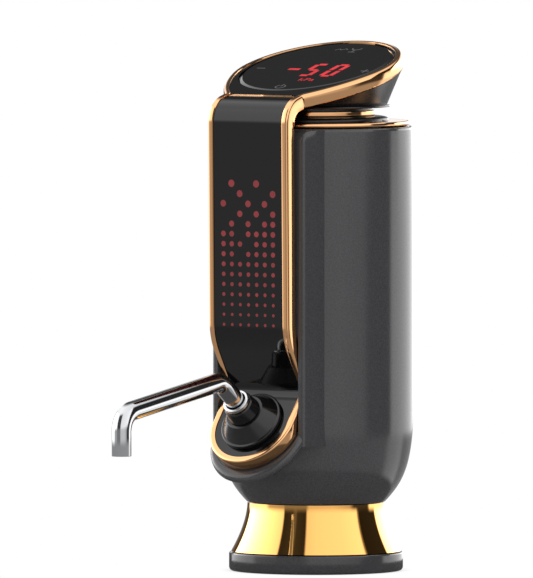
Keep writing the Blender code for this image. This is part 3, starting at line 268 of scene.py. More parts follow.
# %% [markdown]
# ## Finishes inside
# The works are hidden, but the part can be opened and looked into, so they get the finish of the real
# things: green solder mask with copper traces under it, and a shrunk plastic sleeve round the cell.

# %% Circuit board and cell sleeve
TRACE_PITCH, WRINKLE = 2.4, 3


def solder_mask(name):
    material, tree, shader = new_material(name, Roughness=0.35)
    where = add(tree, "TexCoord").outputs["Object"]
    traces = {"Vector": where, "Scale": 1 / (TRACE_PITCH * MM), "Mortar Size": 0.06, "Brick Width": 1.7}
    traces.update({"Color1": colour("#0e4a2a"), "Color2": colour("#0c4226"), "Mortar": colour("#2f7a45")})
    add(tree, "TexBrick", traces, to=shader.inputs["Base Color"])
    return material


def cell_sleeve(name):
    material, tree, shader = new_material(name, Roughness=0.25)
    where = add(tree, "TexCoord").outputs["Object"]
    wrinkle = add(tree, "TexNoise", {"Vector": where, "Scale": 1 / (WRINKLE * MM), "Detail": 3.0}).outputs[0]
    stops = (0.3, colour("#234a7c")), (0.7, colour("#2c5890"))
    add(tree, "ValToRGB", {"Fac": wrinkle}, stops, shader.inputs["Base Color"])
    relief = {"Height": wrinkle, "Strength": 0.2, "Distance": 0.05 * MM}
    add(tree, "Bump", relief, to=shader.inputs["Normal"])
    return material


mask_green = solder_mask("green_solder_mask")
sleeve_blue = cell_sleeve("blue_cell_sleeve")

# %% [markdown]
# Every CAD node first gets the finish of its own slot. Pieces that show are rebuilt further down.

# %% Finish every CAD node
FINISH_OF_SLOT = {
    "shell_paint": shell_paint,
    "base_paint": base_paint,
    "gold_metal": gold,
    "gloss_panel": piano_black,
    "touch_glass": disc_glass,
    "black_plastic": satin_black,
    "steel": collar_steel,
    "silicone": seal_rubber,
    "hose_silicone": hose_rubber,
    "circuit_board": mask_green,
    "light_plastic": white_nylon,
    "battery_wrap": sleeve_blue,
}
slot_of = {entry["node"]: entry["material_slot"] for entry in frame["record"]["subparts"]}
for name, node in nodes.items():
    node.data.materials.clear()
    node.data.materials.append(FINISH_OF_SLOT[slot_of[name]])
print("finished CAD nodes:", len(nodes))

# %% [markdown]
# ## Helpers for shapes
# Almost every visible piece starts as an outline: a closed line of points. A circle is added with as many
# corners as the outline has, and each corner is moved to its place. The outline is then spun, or filled and
# extruded.


# %% Outline helpers
def leave_edit():
    if bpy.context.mode != "OBJECT":
        bpy.ops.object.mode_set(mode="OBJECT")
    bpy.ops.object.select_all(action="DESELECT")


def sweep(end, steps, start=0.0):
    """Evenly spaced angles from start to end, both included."""
    return [start + (end - start) * step / steps for step in range(steps + 1)]
def outline(points, fill=False):
    """Adds a closed line through the points, in edit mode with all of it selected."""
    leave_edit()
    bpy.ops.mesh.primitive_circle_add(vertices=len(points), radius=1, fill_type="NGON" if fill else "NOTHING")
    mesh = bpy.context.object.data
    for vertex, point in zip(mesh.vertices, points):
        vertex.co = point
    bpy.ops.object.mode_set(mode="EDIT")
    bpy.ops.mesh.select_all(action="SELECT")
    return bpy.context.object


def rounded(corners, steps=5):
    """A closed outline from (x, y, radius) corners, each rounded by an arc."""
    points = []
    for index, (x, y, radius) in enumerate(corners):
        here = Vector((x, y))
        if radius == 0:
            points.append(here)
            continue
        before = Vector(corners[index - 1][:2]) - here
        after = Vector(corners[(index + 1) % len(corners)][:2]) - here
        half = before.angle(after) / 2
        centre = here + (before.normalized() + after.normalized()).normalized() * (radius / sin(half))
        start = here + before.normalized() * (radius / tan(half)) - centre
        turn = start.angle_signed(here + after.normalized() * (radius / tan(half)) - centre)
        for step in range(steps + 1):
            points.append(centre + Matrix.Rotation(-turn * step / steps, 2) @ start)
    return points


def pick(test, kind="VERT"):
    """Selects only the parts of the open mesh that pass the test."""
    bpy.ops.mesh.select_mode(type=kind)
    bpy.ops.mesh.select_all(action="DESELECT")
    edit = bmesh.from_edit_mesh(bpy.context.object.data)
    parts = {"VERT": edit.verts, "EDGE": edit.edges, "FACE": edit.faces}[kind]
    for part in parts:
        if test(part):
            part.select_set(True)
    edit.select_flush_mode()
    bmesh.update_edit_mesh(bpy.context.object.data)


def finished(name, material, body="dispenser", replaces=(), smooth=40, flip=False):
    """Leaves edit mode, turns faces outwards, shades the piece and sets it in the frame, in metres."""
    if bpy.context.mode == "EDIT_MESH":
        bpy.ops.mesh.select_mode(type="VERT")
        bpy.ops.mesh.select_all(action="SELECT")
        bpy.ops.mesh.remove_doubles(threshold=0.0005)
        bpy.ops.mesh.normals_make_consistent(inside=False)
    leave_edit()
    piece = bpy.context.view_layer.objects.active
    piece.select_set(True)
    piece.data.transform(Matrix.Scale(MM, 4) @ piece.matrix_world)
    piece.matrix_world = Matrix.Identity(4)
    bpy.ops.object.shade_smooth_by_angle(angle=radians(smooth))
    piece.name = piece.data.name = name
    piece.data.materials.clear()
    piece.data.materials.append(material)
    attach(piece, body)
    if replaces:
        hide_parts(*replaces)
    print(name, "faces", len(piece.data.polygons))
    return piece


def turned(points, steps=96):
    """Spins a closed (radius, up) outline a full turn about Z, and stays in edit mode."""
    piece = outline([Vector((x, 0, y)) for x, y in points])
    bpy.ops.mesh.spin(steps=steps, angle=2 * pi, center=(0, 0, 0), axis=(0, 0, 1))
    bpy.ops.mesh.select_all(action="SELECT")
    bpy.ops.mesh.remove_doubles(threshold=0.0005)
    bpy.ops.mesh.dissolve_degenerate(threshold=0.0005)
    bpy.ops.mesh.select_all(action="SELECT")
    bpy.ops.mesh.delete_loose(use_verts=True, use_edges=True, use_faces=False)
    return piece


def stand_on_axis(piece):
    piece.location = (0, AXIS_Y, 0)
    bpy.context.view_layer.update()


# %% [markdown]
# ## Base
# The foot is a zinc ring under a spun gold skirt. A skirt is spun from sheet over a former, so its wall is
# thin and its curve is one sweep. The outline's corners are rounded first, because a real edge always
# catches a line of light.

# %% Base ring
bore, base_r, base_h = 17.0, 26.9, 5.8
ring = turned(rounded([(bore, 0, 0.3), (base_r, 0, 1.2), (base_r, base_h, 0.45), (bore, base_h, 0)]), 128)
stand_on_axis(ring)
finished("base_ring_painted", base_paint, replaces=["base_ring"])

# %% [markdown]
# The skirt's flare is a power curve: steep at the top and sweeping out to the foot.


# %% Gold skirt
def flare(share):
    return 21.2 + 5.0 * (1 - share) ** 1.7


low, high = 6.1, 21.1
shares = [step / 24 for step in range(25)]
outer = [Vector((flare(share), low + (high - low) * share)) for share in shares]
inner = [Vector((point.x - 1.2, point.y)) for point in reversed(outer)]
skirt = turned(outer + inner, 160)
stand_on_axis(skirt)
finished("base_skirt_spun", skirt_gold, replaces=["base_skirt"], smooth=50)

# %% [markdown]
# ## Shell
# The shell is one moulding: a round can whose foot curves in like a bottle's shoulder, with a column on its
# front. The round can is spun. The column is an outline extruded up the front, joined to the can with a
# union.


# %% Shell can
def boolean(target, tool, operation):
    """Applies one exact Boolean and deletes the tool."""
    leave_edit()
    bpy.context.view_layer.objects.active = target
    target.select_set(True)
    modifier = target.modifiers.new("shape", "BOOLEAN")
    modifier.operation = operation
    modifier.solver = "EXACT"
    modifier.object = tool
    bpy.ops.object.modifier_apply(modifier=modifier.name)
    bpy.data.objects.remove(tool, do_unlink=True)


def solid(piece):
    """Leaves edit mode with a closed mesh whose faces point outwards."""
    bpy.ops.mesh.select_all(action="SELECT")
    bpy.ops.mesh.remove_doubles(threshold=0.0005)
    bpy.ops.mesh.normals_make_consistent(inside=False)
    leave_edit()
    piece.data.transform(piece.matrix_world)
    piece.matrix_world = Matrix.Identity(4)
    return piece


# The can's outline is its floor, foot curve and rounded lip, closed over the top. FOOT gives the foot's curve
# as shares of its height and of its width.
FOOT = (
    (0.0, 0.0), (0.09, 0.23), (0.20, 0.46), (0.32, 0.645),
    (0.47, 0.80), (0.66, 0.915), (0.85, 0.98), (1.0, 1.0),
)
BODY_R, BODY_LOW, BODY_TOP, WALL = 30.0, 21.4, 137.5, 1.9
FOOT_R, FOOT_W, FOOT_H, LIP_R = 21.4, 8.6, 24.6, 1


def smooth_line(points, steps=4):
    """More points along the same line, on a smooth curve through them."""
    found = []
    for index in range(len(points) - 1):
        a, b, c, d = (Vector(points[max(0, min(len(points) - 1, index + k))]) for k in (-1, 0, 1, 2))
        for step in range(steps):
            t = step / steps
            curve = 2 * b + (c - a) * t + (2 * a - 5 * b + 4 * c - d) * t * t
            found.append(0.5 * (curve + (3 * b - a - 3 * c + d) * t**3))
    return found + [Vector(points[-1])]


foot = [Vector((FOOT_R + FOOT_W * out, BODY_LOW + FOOT_H * up)) for up, out in smooth_line(FOOT)]
lip_x, lip_y = BODY_R - LIP_R, BODY_TOP - LIP_R
lip_line = [Vector((lip_x + LIP_R * cos(a), lip_y + LIP_R * sin(a))) for a in sweep(pi / 2, 6)]
can = turned([(0, BODY_LOW), *foot, *lip_line, (0, BODY_TOP)], 160)
stand_on_axis(can)
solid(can)

# %% [markdown]
# The column's plan is a flat-sided arch with a soft fillet where it meets the can. Its top corner is
# rounded too, so the plan is lofted upwards through a few levels whose front edge steps back.


# %% Loft helper and the column
def lofted(loops):
    """Fills the first loop, then extrudes it to each of the others in turn, and stays in edit mode."""
    piece = outline(loops[0], fill=True)
    order = {index: index for index in range(len(loops[0]))}
    for loop in loops[1:]:
        bpy.ops.mesh.extrude_region_move(TRANSFORM_OT_translate={"value": (0, 0, 0.01)})
        edit = bmesh.from_edit_mesh(piece.data)
        edit.verts.index_update()
        moved = {}
        for vertex in (v for v in edit.verts if v.select):
            below = next(e.other_vert(vertex) for e in vertex.link_edges if not e.other_vert(vertex).select)
            moved[vertex] = order[below.index]
        for vertex, place in moved.items():
            vertex.co = loop[place]
        order = {vertex.index: place for vertex, place in moved.items()}
        bmesh.update_edit_mesh(piece.data)
    return piece


COLUMN_FRONT, COLUMN_FOOT, COLUMN_ROUND = 31.0, 40.0, 3.5


def column_plan(front, up):
    right_side = [(20.2, 19.5, 0), (18.6, 26.2, 3.8), (17.2, front, 1.2)]
    left_side = [(-x, y, radius) for x, y, radius in reversed(right_side)]
    return [spot(point.x, point.y, up) for point in rounded(right_side + left_side, 8)]


levels = [(COLUMN_FRONT, COLUMN_FOOT)]
for angle in sweep(pi / 2, 8):
    front = COLUMN_FRONT - COLUMN_ROUND * (1 - cos(angle))
    levels.append((front, BODY_TOP - 0.3 - COLUMN_ROUND * (1 - sin(angle))))
column = solid(lofted([column_plan(*level) for level in levels]))
print("column levels", len(levels))

# %% [markdown]
# ## The ribbon's line
# The black ribbon starts on the tilted head, bends over, runs down the front, dips into the shell and comes
# out again as the spout's platform. In the mirror plane that is four straight runs joined by arcs. The
# ribbon's parts are modelled flat, which keeps them easy to draw, and then each point is carried onto this
# line.

# %% Four runs and three bends
TILT, DIP, PLATFORM = radians(16.1), radians(31.2), radians(38)
RIBBON_FRONT, LEAN = 36.0, 0.8
DIP_DEPTH, PLATFORM_REACH = 9.66, 12.28
head_centre = Vector((0.8, 155.9))
head_along = Vector((cos(TILT), -sin(TILT)))
top_corner = head_centre + head_along * ((RIBBON_FRONT + LEAN - head_centre.x) / cos(TILT))
dip_start = Vector((RIBBON_FRONT, 72.8))
dip_end = dip_start + Vector((-sin(DIP), -cos(DIP))) * (DIP_DEPTH / sin(DIP))
platform_along = Vector((sin(PLATFORM), -cos(PLATFORM)))
platform_up = Vector((cos(PLATFORM), sin(PLATFORM)))
platform_centre = dip_end + platform_along * PLATFORM_REACH


def make_line(corners):
    """Splits a path of (forward, up, bend radius) corners into straight runs and arcs."""
    runs, travelled, start = [], 0.0, Vector(corners[0][:2])
    for before, corner, after in zip(corners, corners[1:], corners[2:]):
        here = Vector(corner[:2])
        along = (here - Vector(before[:2])).normalized()
        onward = (Vector(after[:2]) - here).normalized()
        turn = along.angle_signed(onward)
        reach = corner[2] * tan(abs(turn) / 2)
        length = (here - along * reach - start).length
        runs.append((travelled, travelled + length, start, along, 0.0))
        travelled += length
        runs.append((travelled, travelled + corner[2] * abs(turn), here - along * reach, along, turn))
        travelled += corner[2] * abs(turn)
        start = here + onward * reach
    last = Vector(corners[-1][:2])
    runs.append((travelled, travelled + (last - start).length, start, (last - start).normalized(), 0.0))
    return runs


def on_line(runs, distance):
    """The point at a distance along the path, and the outward normal there."""
    low, high, start, along, turn = next((run for run in reversed(runs) if distance >= run[0]), runs[0])
    if turn:
        angle, radius = turn * (distance - low) / (high - low), (high - low) / turn
        across = Vector((along.y, -along.x))
        start = start + along * (radius * sin(angle)) + across * (radius * (1 - cos(angle)))
        along = Matrix.Rotation(-angle, 2) @ along
    else:
        start = start + along * (distance - low)
    return start, Vector((-along.y, along.x))


RIBBON = make_line(
    [(*head_centre, 0), (*top_corner, 8.5), (*dip_start, 18), (*dip_end, 3.5), (*platform_centre, 0)]
)
RIBBON_END = RIBBON[-1][1]


def on_ribbon(distance, side, depth):
    point, normal = on_line(RIBBON, distance)
    point = point - normal * depth
    return spot(side, point.x, point.y)


def stations(low, high, steps):
    """Distances in the bends at which a flat blank needs a cut before it can bend smoothly."""
    found = []
    for start, end, _, _, turn in RIBBON:
        if turn:
            found += [start + (end - start) * step / steps for step in range(steps + 1)]
    return [value for value in found if low + 0.05 < value < high - 0.05]


def bend_onto_ribbon(piece):
    """Carries a flat blank, x along the ribbon, y to the side and z outwards, onto the ribbon's line."""
    leave_edit()
    for vertex in piece.data.vertices:
        vertex.co = on_ribbon(vertex.co.x, vertex.co.y, -vertex.co.z)
    piece.select_set(True)
    bpy.context.view_layer.objects.active = piece
    bpy.ops.object.mode_set(mode="EDIT")


print("ribbon length", round(RIBBON_END, 2), "platform centre", tuple(platform_centre))

# %% [markdown]
# The chin carries the platform. It is the platform's own outline, a little larger, drawn out backwards and
# down into the can, with a rounded front edge that shows as a fine light line under the gold.


# %% Chin, and the channel that the ribbon lies in
CHIN_R, CHIN_EDGE, CHIN_SIDE, CHIN_DROP = 16.8, 1.6, 1.8, 1.5
CHIN_ROOT_R, CHIN_ROOT, CHIN_RISE = 6.8, 11.8, 12.0
TRIM_DEPTH, HALF, SEAT_GAP = 4.4, 14.95, 0.3
CHANNEL_LEAD, CLEAR = 18, 4


def platform_loop(radius, depth):
    """Half a disc a little below the platform's centre, with sides that run up behind it."""
    flat = [Vector((-CHIN_RISE, radius))]
    flat += [Vector((radius * sin(angle), radius * cos(angle))) for angle in sweep(pi, 48)[1:-1]]
    flat += [Vector((-CHIN_RISE, -radius))]
    places = []
    for point in flat:
        where = platform_centre + platform_along * (point.x + CHIN_DROP) - platform_up * depth
        places.append(spot(point.y, where.x, where.y))
    return places


chin_face = TRIM_DEPTH + 0.15
chin_levels = []
for angle in sweep(pi / 2, 6):
    chin_levels.append((CHIN_R - CHIN_EDGE * (1 - sin(angle)), chin_face + CHIN_EDGE * (1 - cos(angle))))
chin_levels += [(CHIN_R, chin_face + CHIN_SIDE), (CHIN_ROOT_R, chin_face + CHIN_ROOT)]
chin = solid(lofted([platform_loop(*level) for level in chin_levels]))

seat, gap_half = TRIM_DEPTH + SEAT_GAP, HALF + SEAT_GAP
channel_low = RIBBON_END - (dip_start.y - platform_centre.y) - CHANNEL_LEAD
along_it = (channel_low, *stations(channel_low, RIBBON_END, 12), RIBBON_END)
rows = [(distance, gap_half) for distance in along_it]
rows += [(RIBBON_END + gap_half * sin(angle), gap_half * cos(angle)) for angle in sweep(pi / 2, 20)[1:-1]]
clear_of = platform_centre.x + gap_half + CLEAR
loops = []
for distance, side in rows:
    back, normal = on_line(RIBBON, distance)
    back = back - normal * seat
    corners = ((-side, back.x), (side, back.x), (side, clear_of), (-side, clear_of))
    loops.append([spot(across, forward, back.y) for across, forward in corners])
channel = solid(lofted(loops))
print("channel rows", len(rows))

# %% [markdown]
# The shell's hollow is the can again, one wall smaller, with a flat front behind the ribbon. The bisect
# operator cuts that flat, and the union and the cuts then make one moulding.

# %% Join and cut the shell
SHELL_FLOOR, HOLLOW_FLAT, FLOOR_HOLE_R = 24.0, 21, 17
SPOUT_BORE, SPOUT_SINK = 3.3, 0.3
PORT_W, PORT_H, PORT_EDGE, PORT_UP = 4.47, 1.63, 1.2, 47
SPOUT = Matrix.Translation(spot(0, *(platform_centre - platform_up * SPOUT_SINK)))
SPOUT = SPOUT @ Matrix.Rotation(pi / 2 - PLATFORM, 4, "X")


def on_platform(piece):
    piece.matrix_world = SPOUT
    bpy.context.view_layer.update()


def port_outline(grow):
    wide, tall, radius = PORT_W + grow, PORT_H + grow, PORT_EDGE + grow
    corners = ((-wide, -tall), (wide, -tall), (wide, tall), (-wide, tall))
    return rounded([(x, PORT_UP + y, radius) for x, y in corners], 4)


inside = [point for point in ((p.x - WALL, p.y) for p in foot) if point[1] > SHELL_FLOOR]
floor_line = [(0, SHELL_FLOOR), (inside[0][0] - 0.2, SHELL_FLOOR)]
hollow = turned([*floor_line, *inside, (BODY_R - WALL, BODY_TOP + CLEAR), (0, BODY_TOP + CLEAR)], 96)
bpy.ops.mesh.select_all(action="SELECT")
bpy.ops.mesh.bisect(plane_co=(0, -HOLLOW_FLAT, 0), plane_no=(0, -1, 0), use_fill=True, clear_outer=True)
stand_on_axis(hollow)
solid(hollow)
drill = turned([(0, -19.6), (SPOUT_BORE, -19.6), (SPOUT_BORE, CLEAR), (0, CLEAR)], 32)
on_platform(drill)
solid(drill)
floor_hole = turned([(0, 10), (FLOOR_HOLE_R, 10), (FLOOR_HOLE_R, 28), (0, 28)], 64)
stand_on_axis(floor_hole)
solid(floor_hole)
slot = solid(lofted([[spot(p.x, forward, p.y) for p in port_outline(SEAT_GAP)] for forward in (-34, -24)]))

boolean(can, column, "UNION")
boolean(can, chin, "UNION")
for tool in (hollow, channel, drill, floor_hole, slot):
    boolean(can, tool, "DIFFERENCE")
can.select_set(True)
finished("shell_moulding", shell_paint, replaces=["outer_shell"], smooth=28)

# %% [markdown]
# ## Ribbon: trim, panel and head
# The gold trim's blank is the ribbon's outline, filled and inset by the trim's width. The middle is
# deleted, the band is extruded to its depth, and its outer front edge gets a wide bevel: the bright lip in
# the photograph.


# %% Trim blanks
TRIM_W, MITRE = 2.0, 28.9
HEAD_R, SHOULDER_R, SHOULDER_FILLET, SHOULDER_AT = 27.35, 56.0, 1.5, 8.0


def ribbon_flat(start, half):
    """Flat outline of the long ribbon, from start to its round end."""
    points = [Vector((start, half, 0))]
    points += [Vector((RIBBON_END + half * sin(angle), half * cos(angle), 0)) for angle in sweep(pi, 64)]
    return points + [Vector((start, -half, 0))]


def arc_of(centre, radius, angles):
    return [centre + Vector((cos(angle), sin(angle))) * radius for angle in angles]


def head_flat(end):
    """Flat outline of the head: a disc, a flatter shoulder, a small fillet and a strip as far as end."""
    leave = acos(SHOULDER_AT / HEAD_R)
    middle = Vector((cos(leave), sin(leave))) * (HEAD_R - SHOULDER_R)
    away = HALF + SHOULDER_FILLET - middle.y
    reach = sqrt((SHOULDER_R + SHOULDER_FILLET) ** 2 - away**2)
    corner = Vector((middle.x + reach, HALF + SHOULDER_FILLET))
    meet = (corner - middle).angle(Vector((1, 0)))
    half = [Vector((end, HALF))]
    for swing in sweep(pi / 2 - meet, 6):
        half.append(corner + Vector((-sin(swing), -cos(swing))) * SHOULDER_FILLET)
    half += arc_of(middle, SHOULDER_R, sweep(leave, 24, meet)[1:])
    half += arc_of(Vector((0, 0)), HEAD_R, sweep(pi, 96, leave)[1:])
    whole = half + [Vector((point.x, -point.y)) for point in reversed(half[:-1])]
    return [Vector((point.x, point.y, 0)) for point in whole]


def band_from(points, width, depth, keep_above, keep_below):
    """A filled outline made into a band: inset, its middle removed, trimmed at one end and extruded."""
    piece = outline(points, fill=True)
    bpy.ops.mesh.inset(thickness=width, use_even_offset=True)
    bpy.ops.mesh.delete(type="FACE")
    bpy.ops.mesh.select_all(action="SELECT")
    if keep_above is not None:
        bpy.ops.mesh.bisect(plane_co=(keep_above, 0, 0), plane_no=(-1, 0, 0), clear_outer=True)
    if keep_below is not None:
        bpy.ops.mesh.bisect(plane_co=(keep_below, 0, 0), plane_no=(1, 0, 0), clear_outer=True)
    bpy.ops.mesh.select_all(action="SELECT")
    bpy.ops.mesh.extrude_region_move(TRANSFORM_OT_translate={"value": (0, 0, -depth)})
    return piece


def edge_on(edge, test):
    return all(test(vertex.co) for vertex in edge.verts)


def cut_across(distances):
    for distance in distances:
        bpy.ops.mesh.select_all(action="SELECT")
        bpy.ops.mesh.bisect(plane_co=(distance, 0, 0), plane_no=(1, 0, 0))


def lip(is_outer, is_inner, front=0.65, back=0.5, inner=0.15):
    """Bevels the outer front edge wide, the outer back edge less and the inner front edge a little."""
    edges = ((is_outer, 0, front, 4), (is_outer, -TRIM_DEPTH, back, 3), (is_inner, 0, inner, 2))
    for test, level, width, parts in edges:
        pick(lambda e: edge_on(e, lambda co: abs(co.z - level) < 1e-3 and test(co)), "EDGE")
        bpy.ops.mesh.bevel(offset=width, segments=parts, profile=0.5, affect="EDGES")


# %% [markdown]
# The long trim runs from the mitre under the head to the round end. Its blank is cut across wherever the
# ribbon bends, so that it can follow the arcs, then beveled while it is still flat and easy to pick edges
# on.

# %% Long trim
MITRE_GAP = 0.06


def beside(half):
    """A test for points that lie half away from the ribbon's middle line, round its end too."""

    def test(co):
        if co.x < RIBBON_END:
            return abs(abs(co.y) - half) < 1e-3
        return abs(Vector((co.x - RIBBON_END, co.y)).length - half) < 2e-2

    return test


start = MITRE + MITRE_GAP
trim = band_from(ribbon_flat(start - TRIM_W, HALF), TRIM_W, TRIM_DEPTH, start, None)
cut_across(stations(start, RIBBON_END, 14))
lip(beside(HALF), beside(HALF - TRIM_W), inner=0.08)
bend_onto_ribbon(trim)
finished("gold_panel_trim", gold, replaces=["panel_trim"], smooth=30)

# %% [markdown]
# The head's rim is the same band on the head's outline, with a wider bevel. Its outer edge is a disc that
# flows into shoulders, so its edges are picked by their distance from the outline itself.

# %% Head rim
head_line = head_flat(MITRE + 2 * TRIM_W)
rim = band_from(head_line, TRIM_W, TRIM_DEPTH, None, MITRE - MITRE_GAP)


def on_outer(co):
    flat = Vector((co.x, co.y, 0))
    for a, b in zip(head_line, head_line[1:]):
        along = b - a
        t = max(0, min(1, (flat - a).dot(along) / along.length_squared))
        if (a + along * t - flat).length < 0.02:
            return True
    return False


def on_inner(co):
    return not on_outer(co) and co.x < MITRE - 0.1


lip(on_outer, on_inner, front=1.2, back=0.9, inner=0.08)
bend_onto_ribbon(rim)
finished("gold_head_rim", gold, replaces=["head_rim"], smooth=30)

# %% [markdown]
# The black panel lies inside the trim, a third of a millimetre lower, so the gold stands proud of it.

# %% Front panel and head plate
PANEL_LOW, PANEL_THICK, GLASS_R, GLASS_BACK, WINDOW_R = 0.3, 2.0, 24.3, 0.9, 21.5


def sheet_down():
    """Gives a flat outline the panel's thickness and sinks it under the trim."""
    bpy.ops.mesh.select_all(action="SELECT")
    bpy.ops.mesh.extrude_region_move(TRANSFORM_OT_translate={"value": (0, 0, -PANEL_THICK)})
    bpy.ops.mesh.select_all(action="SELECT")
    bpy.ops.transform.translate(value=(0, 0, -PANEL_LOW))


def on_disc(piece):
    """Sets a turned piece on the touch disc's middle, a little behind the head's."""
    piece.location = (-GLASS_BACK, 0, 0)
    bpy.context.view_layer.update()
    return solid(piece)


panel = outline(ribbon_flat(MITRE + 0.05, HALF - TRIM_W - MITRE_GAP), fill=True)
sheet_down()
cut_across(stations(MITRE, RIBBON_END, 14))
bend_onto_ribbon(panel)
solid(panel)
hole = turned([(0, -CLEAR), (SPOUT_BORE, -CLEAR), (SPOUT_BORE, CLEAR), (0, CLEAR)], 48)
on_platform(hole)
boolean(panel, solid(hole), "DIFFERENCE")
finished("acrylic_front_panel", piano_black, replaces=["front_panel"], smooth=30)

plate = outline(head_line, fill=True)
bpy.ops.mesh.inset(thickness=TRIM_W + MITRE_GAP, use_even_offset=True)
bpy.ops.mesh.select_mode(type="FACE")
bpy.ops.mesh.select_all(action="INVERT")
bpy.ops.mesh.delete(type="FACE")
bpy.ops.mesh.select_all(action="SELECT")
bpy.ops.mesh.bisect(plane_co=(MITRE, 0, 0), plane_no=(1, 0, 0), clear_outer=True)
sheet_down()
solid(plate)
well_r = GLASS_R + 0.12
well = on_disc(turned([(0, -1.7), (well_r, -1.7), (well_r, CLEAR), (0, CLEAR)], 128))
window = on_disc(turned([(0, -6), (WINDOW_R, -6), (WINDOW_R, CLEAR), (0, CLEAR)], 96))
boolean(plate, well, "DIFFERENCE")
boolean(plate, window, "DIFFERENCE")
bend_onto_ribbon(plate)
finished("acrylic_head_plate", piano_black, replaces=["head_plate"], smooth=30)

# %% [markdown]
# The touch disc has a ground edge, wider and flatter than a polished one. It is what shows as a pale arc in
# the photograph, so it is modelled as a real slope round the disc and not painted.

# %% Touch disc
GRIND, GLASS_LOW = 1.0, 1.4
slope = [(GLASS_R - GRIND - 0.1, -PANEL_LOW, 0), (GLASS_R - 0.1, -0.78, 0), (GLASS_R, -GLASS_LOW, 0)]
disc = on_disc(turned(rounded([(0, -PANEL_LOW, 0), *slope, (0, -GLASS_LOW, 0)]), 160))
bend_onto_ribbon(disc)
finished("ground_touch_disc", disc_glass, replaces=["touch_glass"], smooth=12)

# %% [markdown]
# ## Neck
# Under the head, a black cone narrows to a thin flange. Below it stand the gold band, the black shoulder
# and the gold ring on the shell's lip. The cone is a loft from a level circle to a tilted one.


# %% Head housing
FLANGE = ((22.3, 143.4), (22.75, 143.48), (22.9, 143.7), (22.8, 143.95), (22.5, 144.0), (21.9, 144.02))
CONE_BACK, CONE_TOP = 1.0, ((26.05, 4.85), (26.2, 4.72))


def level_ring(radius, up):
    return [spot(radius * sin(a), radius * cos(a), up) for a in sweep(2 * pi, 128)[:-1]]


def tilted_ring(radius, depth):
    around = sweep(2 * pi, 128)[:-1]
    return [on_ribbon(radius * cos(a) - CONE_BACK, radius * sin(a), depth) for a in around]


lofted([level_ring(*level) for level in FLANGE] + [tilted_ring(*level) for level in CONE_TOP])
finished("cone_housing", satin_black, replaces=["head_housing"], smooth=32)

# %% [markdown]
# The rings of the neck are turned, each from a plain section whose outer corners are rounded. The shoulder
# has a low dome, which mirrors the band above it.


# %% Neck ring, shoulder and band
def hoop(inner, outer, low, tall, low_edge, high_edge):
    return [(inner, low, 0), (outer, low, low_edge), (outer, low + tall, high_edge), (inner, low + tall, 0)]


low = BODY_TOP + 0.3
neck_ring = turned(rounded(hoop(20.9, 28.9, low, 1.4, 0.6, 0.75), 8), 160)
stand_on_axis(neck_ring)
finished("gold_neck_ring", gold, replaces=["neck_ring"], smooth=40)

neck_low, neck_r, dome_w, dome_h = low + 1.7, 17.4, 5.0, 1.0
dome = [Vector((neck_r + dome_w * cos(a), neck_low + 0.3 + dome_h * sin(a))) for a in sweep(pi / 2, 10)]
plug = [(0, 133.0), (20.5, 133.0), (20.5, neck_low), (neck_r + dome_w, neck_low)]
core = turned([*plug, *dome, (neck_r, 143.1), (0, 143.1)], 128)
stand_on_axis(core)
finished("neck_shoulder", satin_black, replaces=["neck_core"], smooth=35)

band = turned(rounded(hoop(17.7, 18.3, neck_low + 1.45, 1.5, 0.25, 0.25), 4), 128)
stand_on_axis(band)
finished("gold_neck_band", gold, replaces=["neck_band"], smooth=40)

# %% [markdown]
# ## Spout
# The boss, collar and ring are turned parts on the platform's own axis, which rises only 38 degrees above
# level towards the front. They are spun upright at the origin, then one matrix stands them on the platform.

# %% Boss, collar and ring
BOSS = [(10.2, 0.3, 0), (10.2, 1.5, 0.35), (9.4, 1.5, 0), (6.2, 5.8, 0.4)]
boss = turned(rounded([(SPOUT_BORE, 0.3, 0), *BOSS, (SPOUT_BORE, 5.8, 0)], 5), 128)
on_platform(boss)
finished("spout_boss_moulding", boss_black, replaces=["spout_boss"], smooth=35)

COLLAR = [(4.4, 6.1, 0), (5.3, 6.1, 0), (4.7, 9.7, 0.15), (4.3, 10.1, 0.15)]
collar = turned(rounded([*COLLAR, (SPOUT_BORE, 10.1, 0), (SPOUT_BORE, 8.0, 0), (4.4, 8.0, 0)], 4), 96)
on_platform(collar)
finished("spout_collar_moulding", boss_black, replaces=["spout_collar"], smooth=30)

CAP = [(4.2, 10.4, 0.1), (4.2, 11.7, 0.4), (SPOUT_BORE, 11.7, 0.15)]
cap = turned(rounded([(SPOUT_BORE, 10.4, 0), *CAP], 5), 96)
on_platform(cap)
finished("spout_ring_turned", collar_steel, body="spout", replaces=["spout_ring"], smooth=40)

# %% [markdown]
# The spout is one tube, bent twice. A curve with a round bevel follows the bent line, becomes a mesh, and a
# Solidify modifier gives it its wall, so the open tip shows a real bore.

# %% Spout tube
TUBE_R, TUBE_WALL, TUBE_BEND = 3.0, 0.7, 6.2
RISER, REACH, DROP, FALL = 21.8, 52.2, 12.8, radians(8.7)
spout_foot = platform_centre - platform_up * SPOUT_SINK
spout_corner = spout_foot + platform_up * RISER
end_corner = spout_corner + Vector((cos(FALL), -sin(FALL))) * REACH
tip = end_corner - Vector((0, DROP))
inner_end = spout_foot + platform_up * 4.8
line = make_line([(*inner_end, 0), (*spout_corner, TUBE_BEND), (*end_corner, TUBE_BEND), (*tip, 0)])
marks = []
for low_end, high_end, _, _, turn in line:
    parts = 14 if turn else 1
    marks += [low_end + (high_end - low_end) * k / parts for k in range(parts)]
marks.append(line[-1][1])
leave_edit()
bpy.ops.curve.primitive_bezier_curve_add()
tube = bpy.context.object
tube.data.splines.clear()
spline = tube.data.splines.new("POLY")
spline.points.add(len(marks) - 1)
for point, distance in zip(spline.points, marks):
    where = on_line(line, distance)[0]
    point.co = (*spot(0, where.x, where.y), 1)
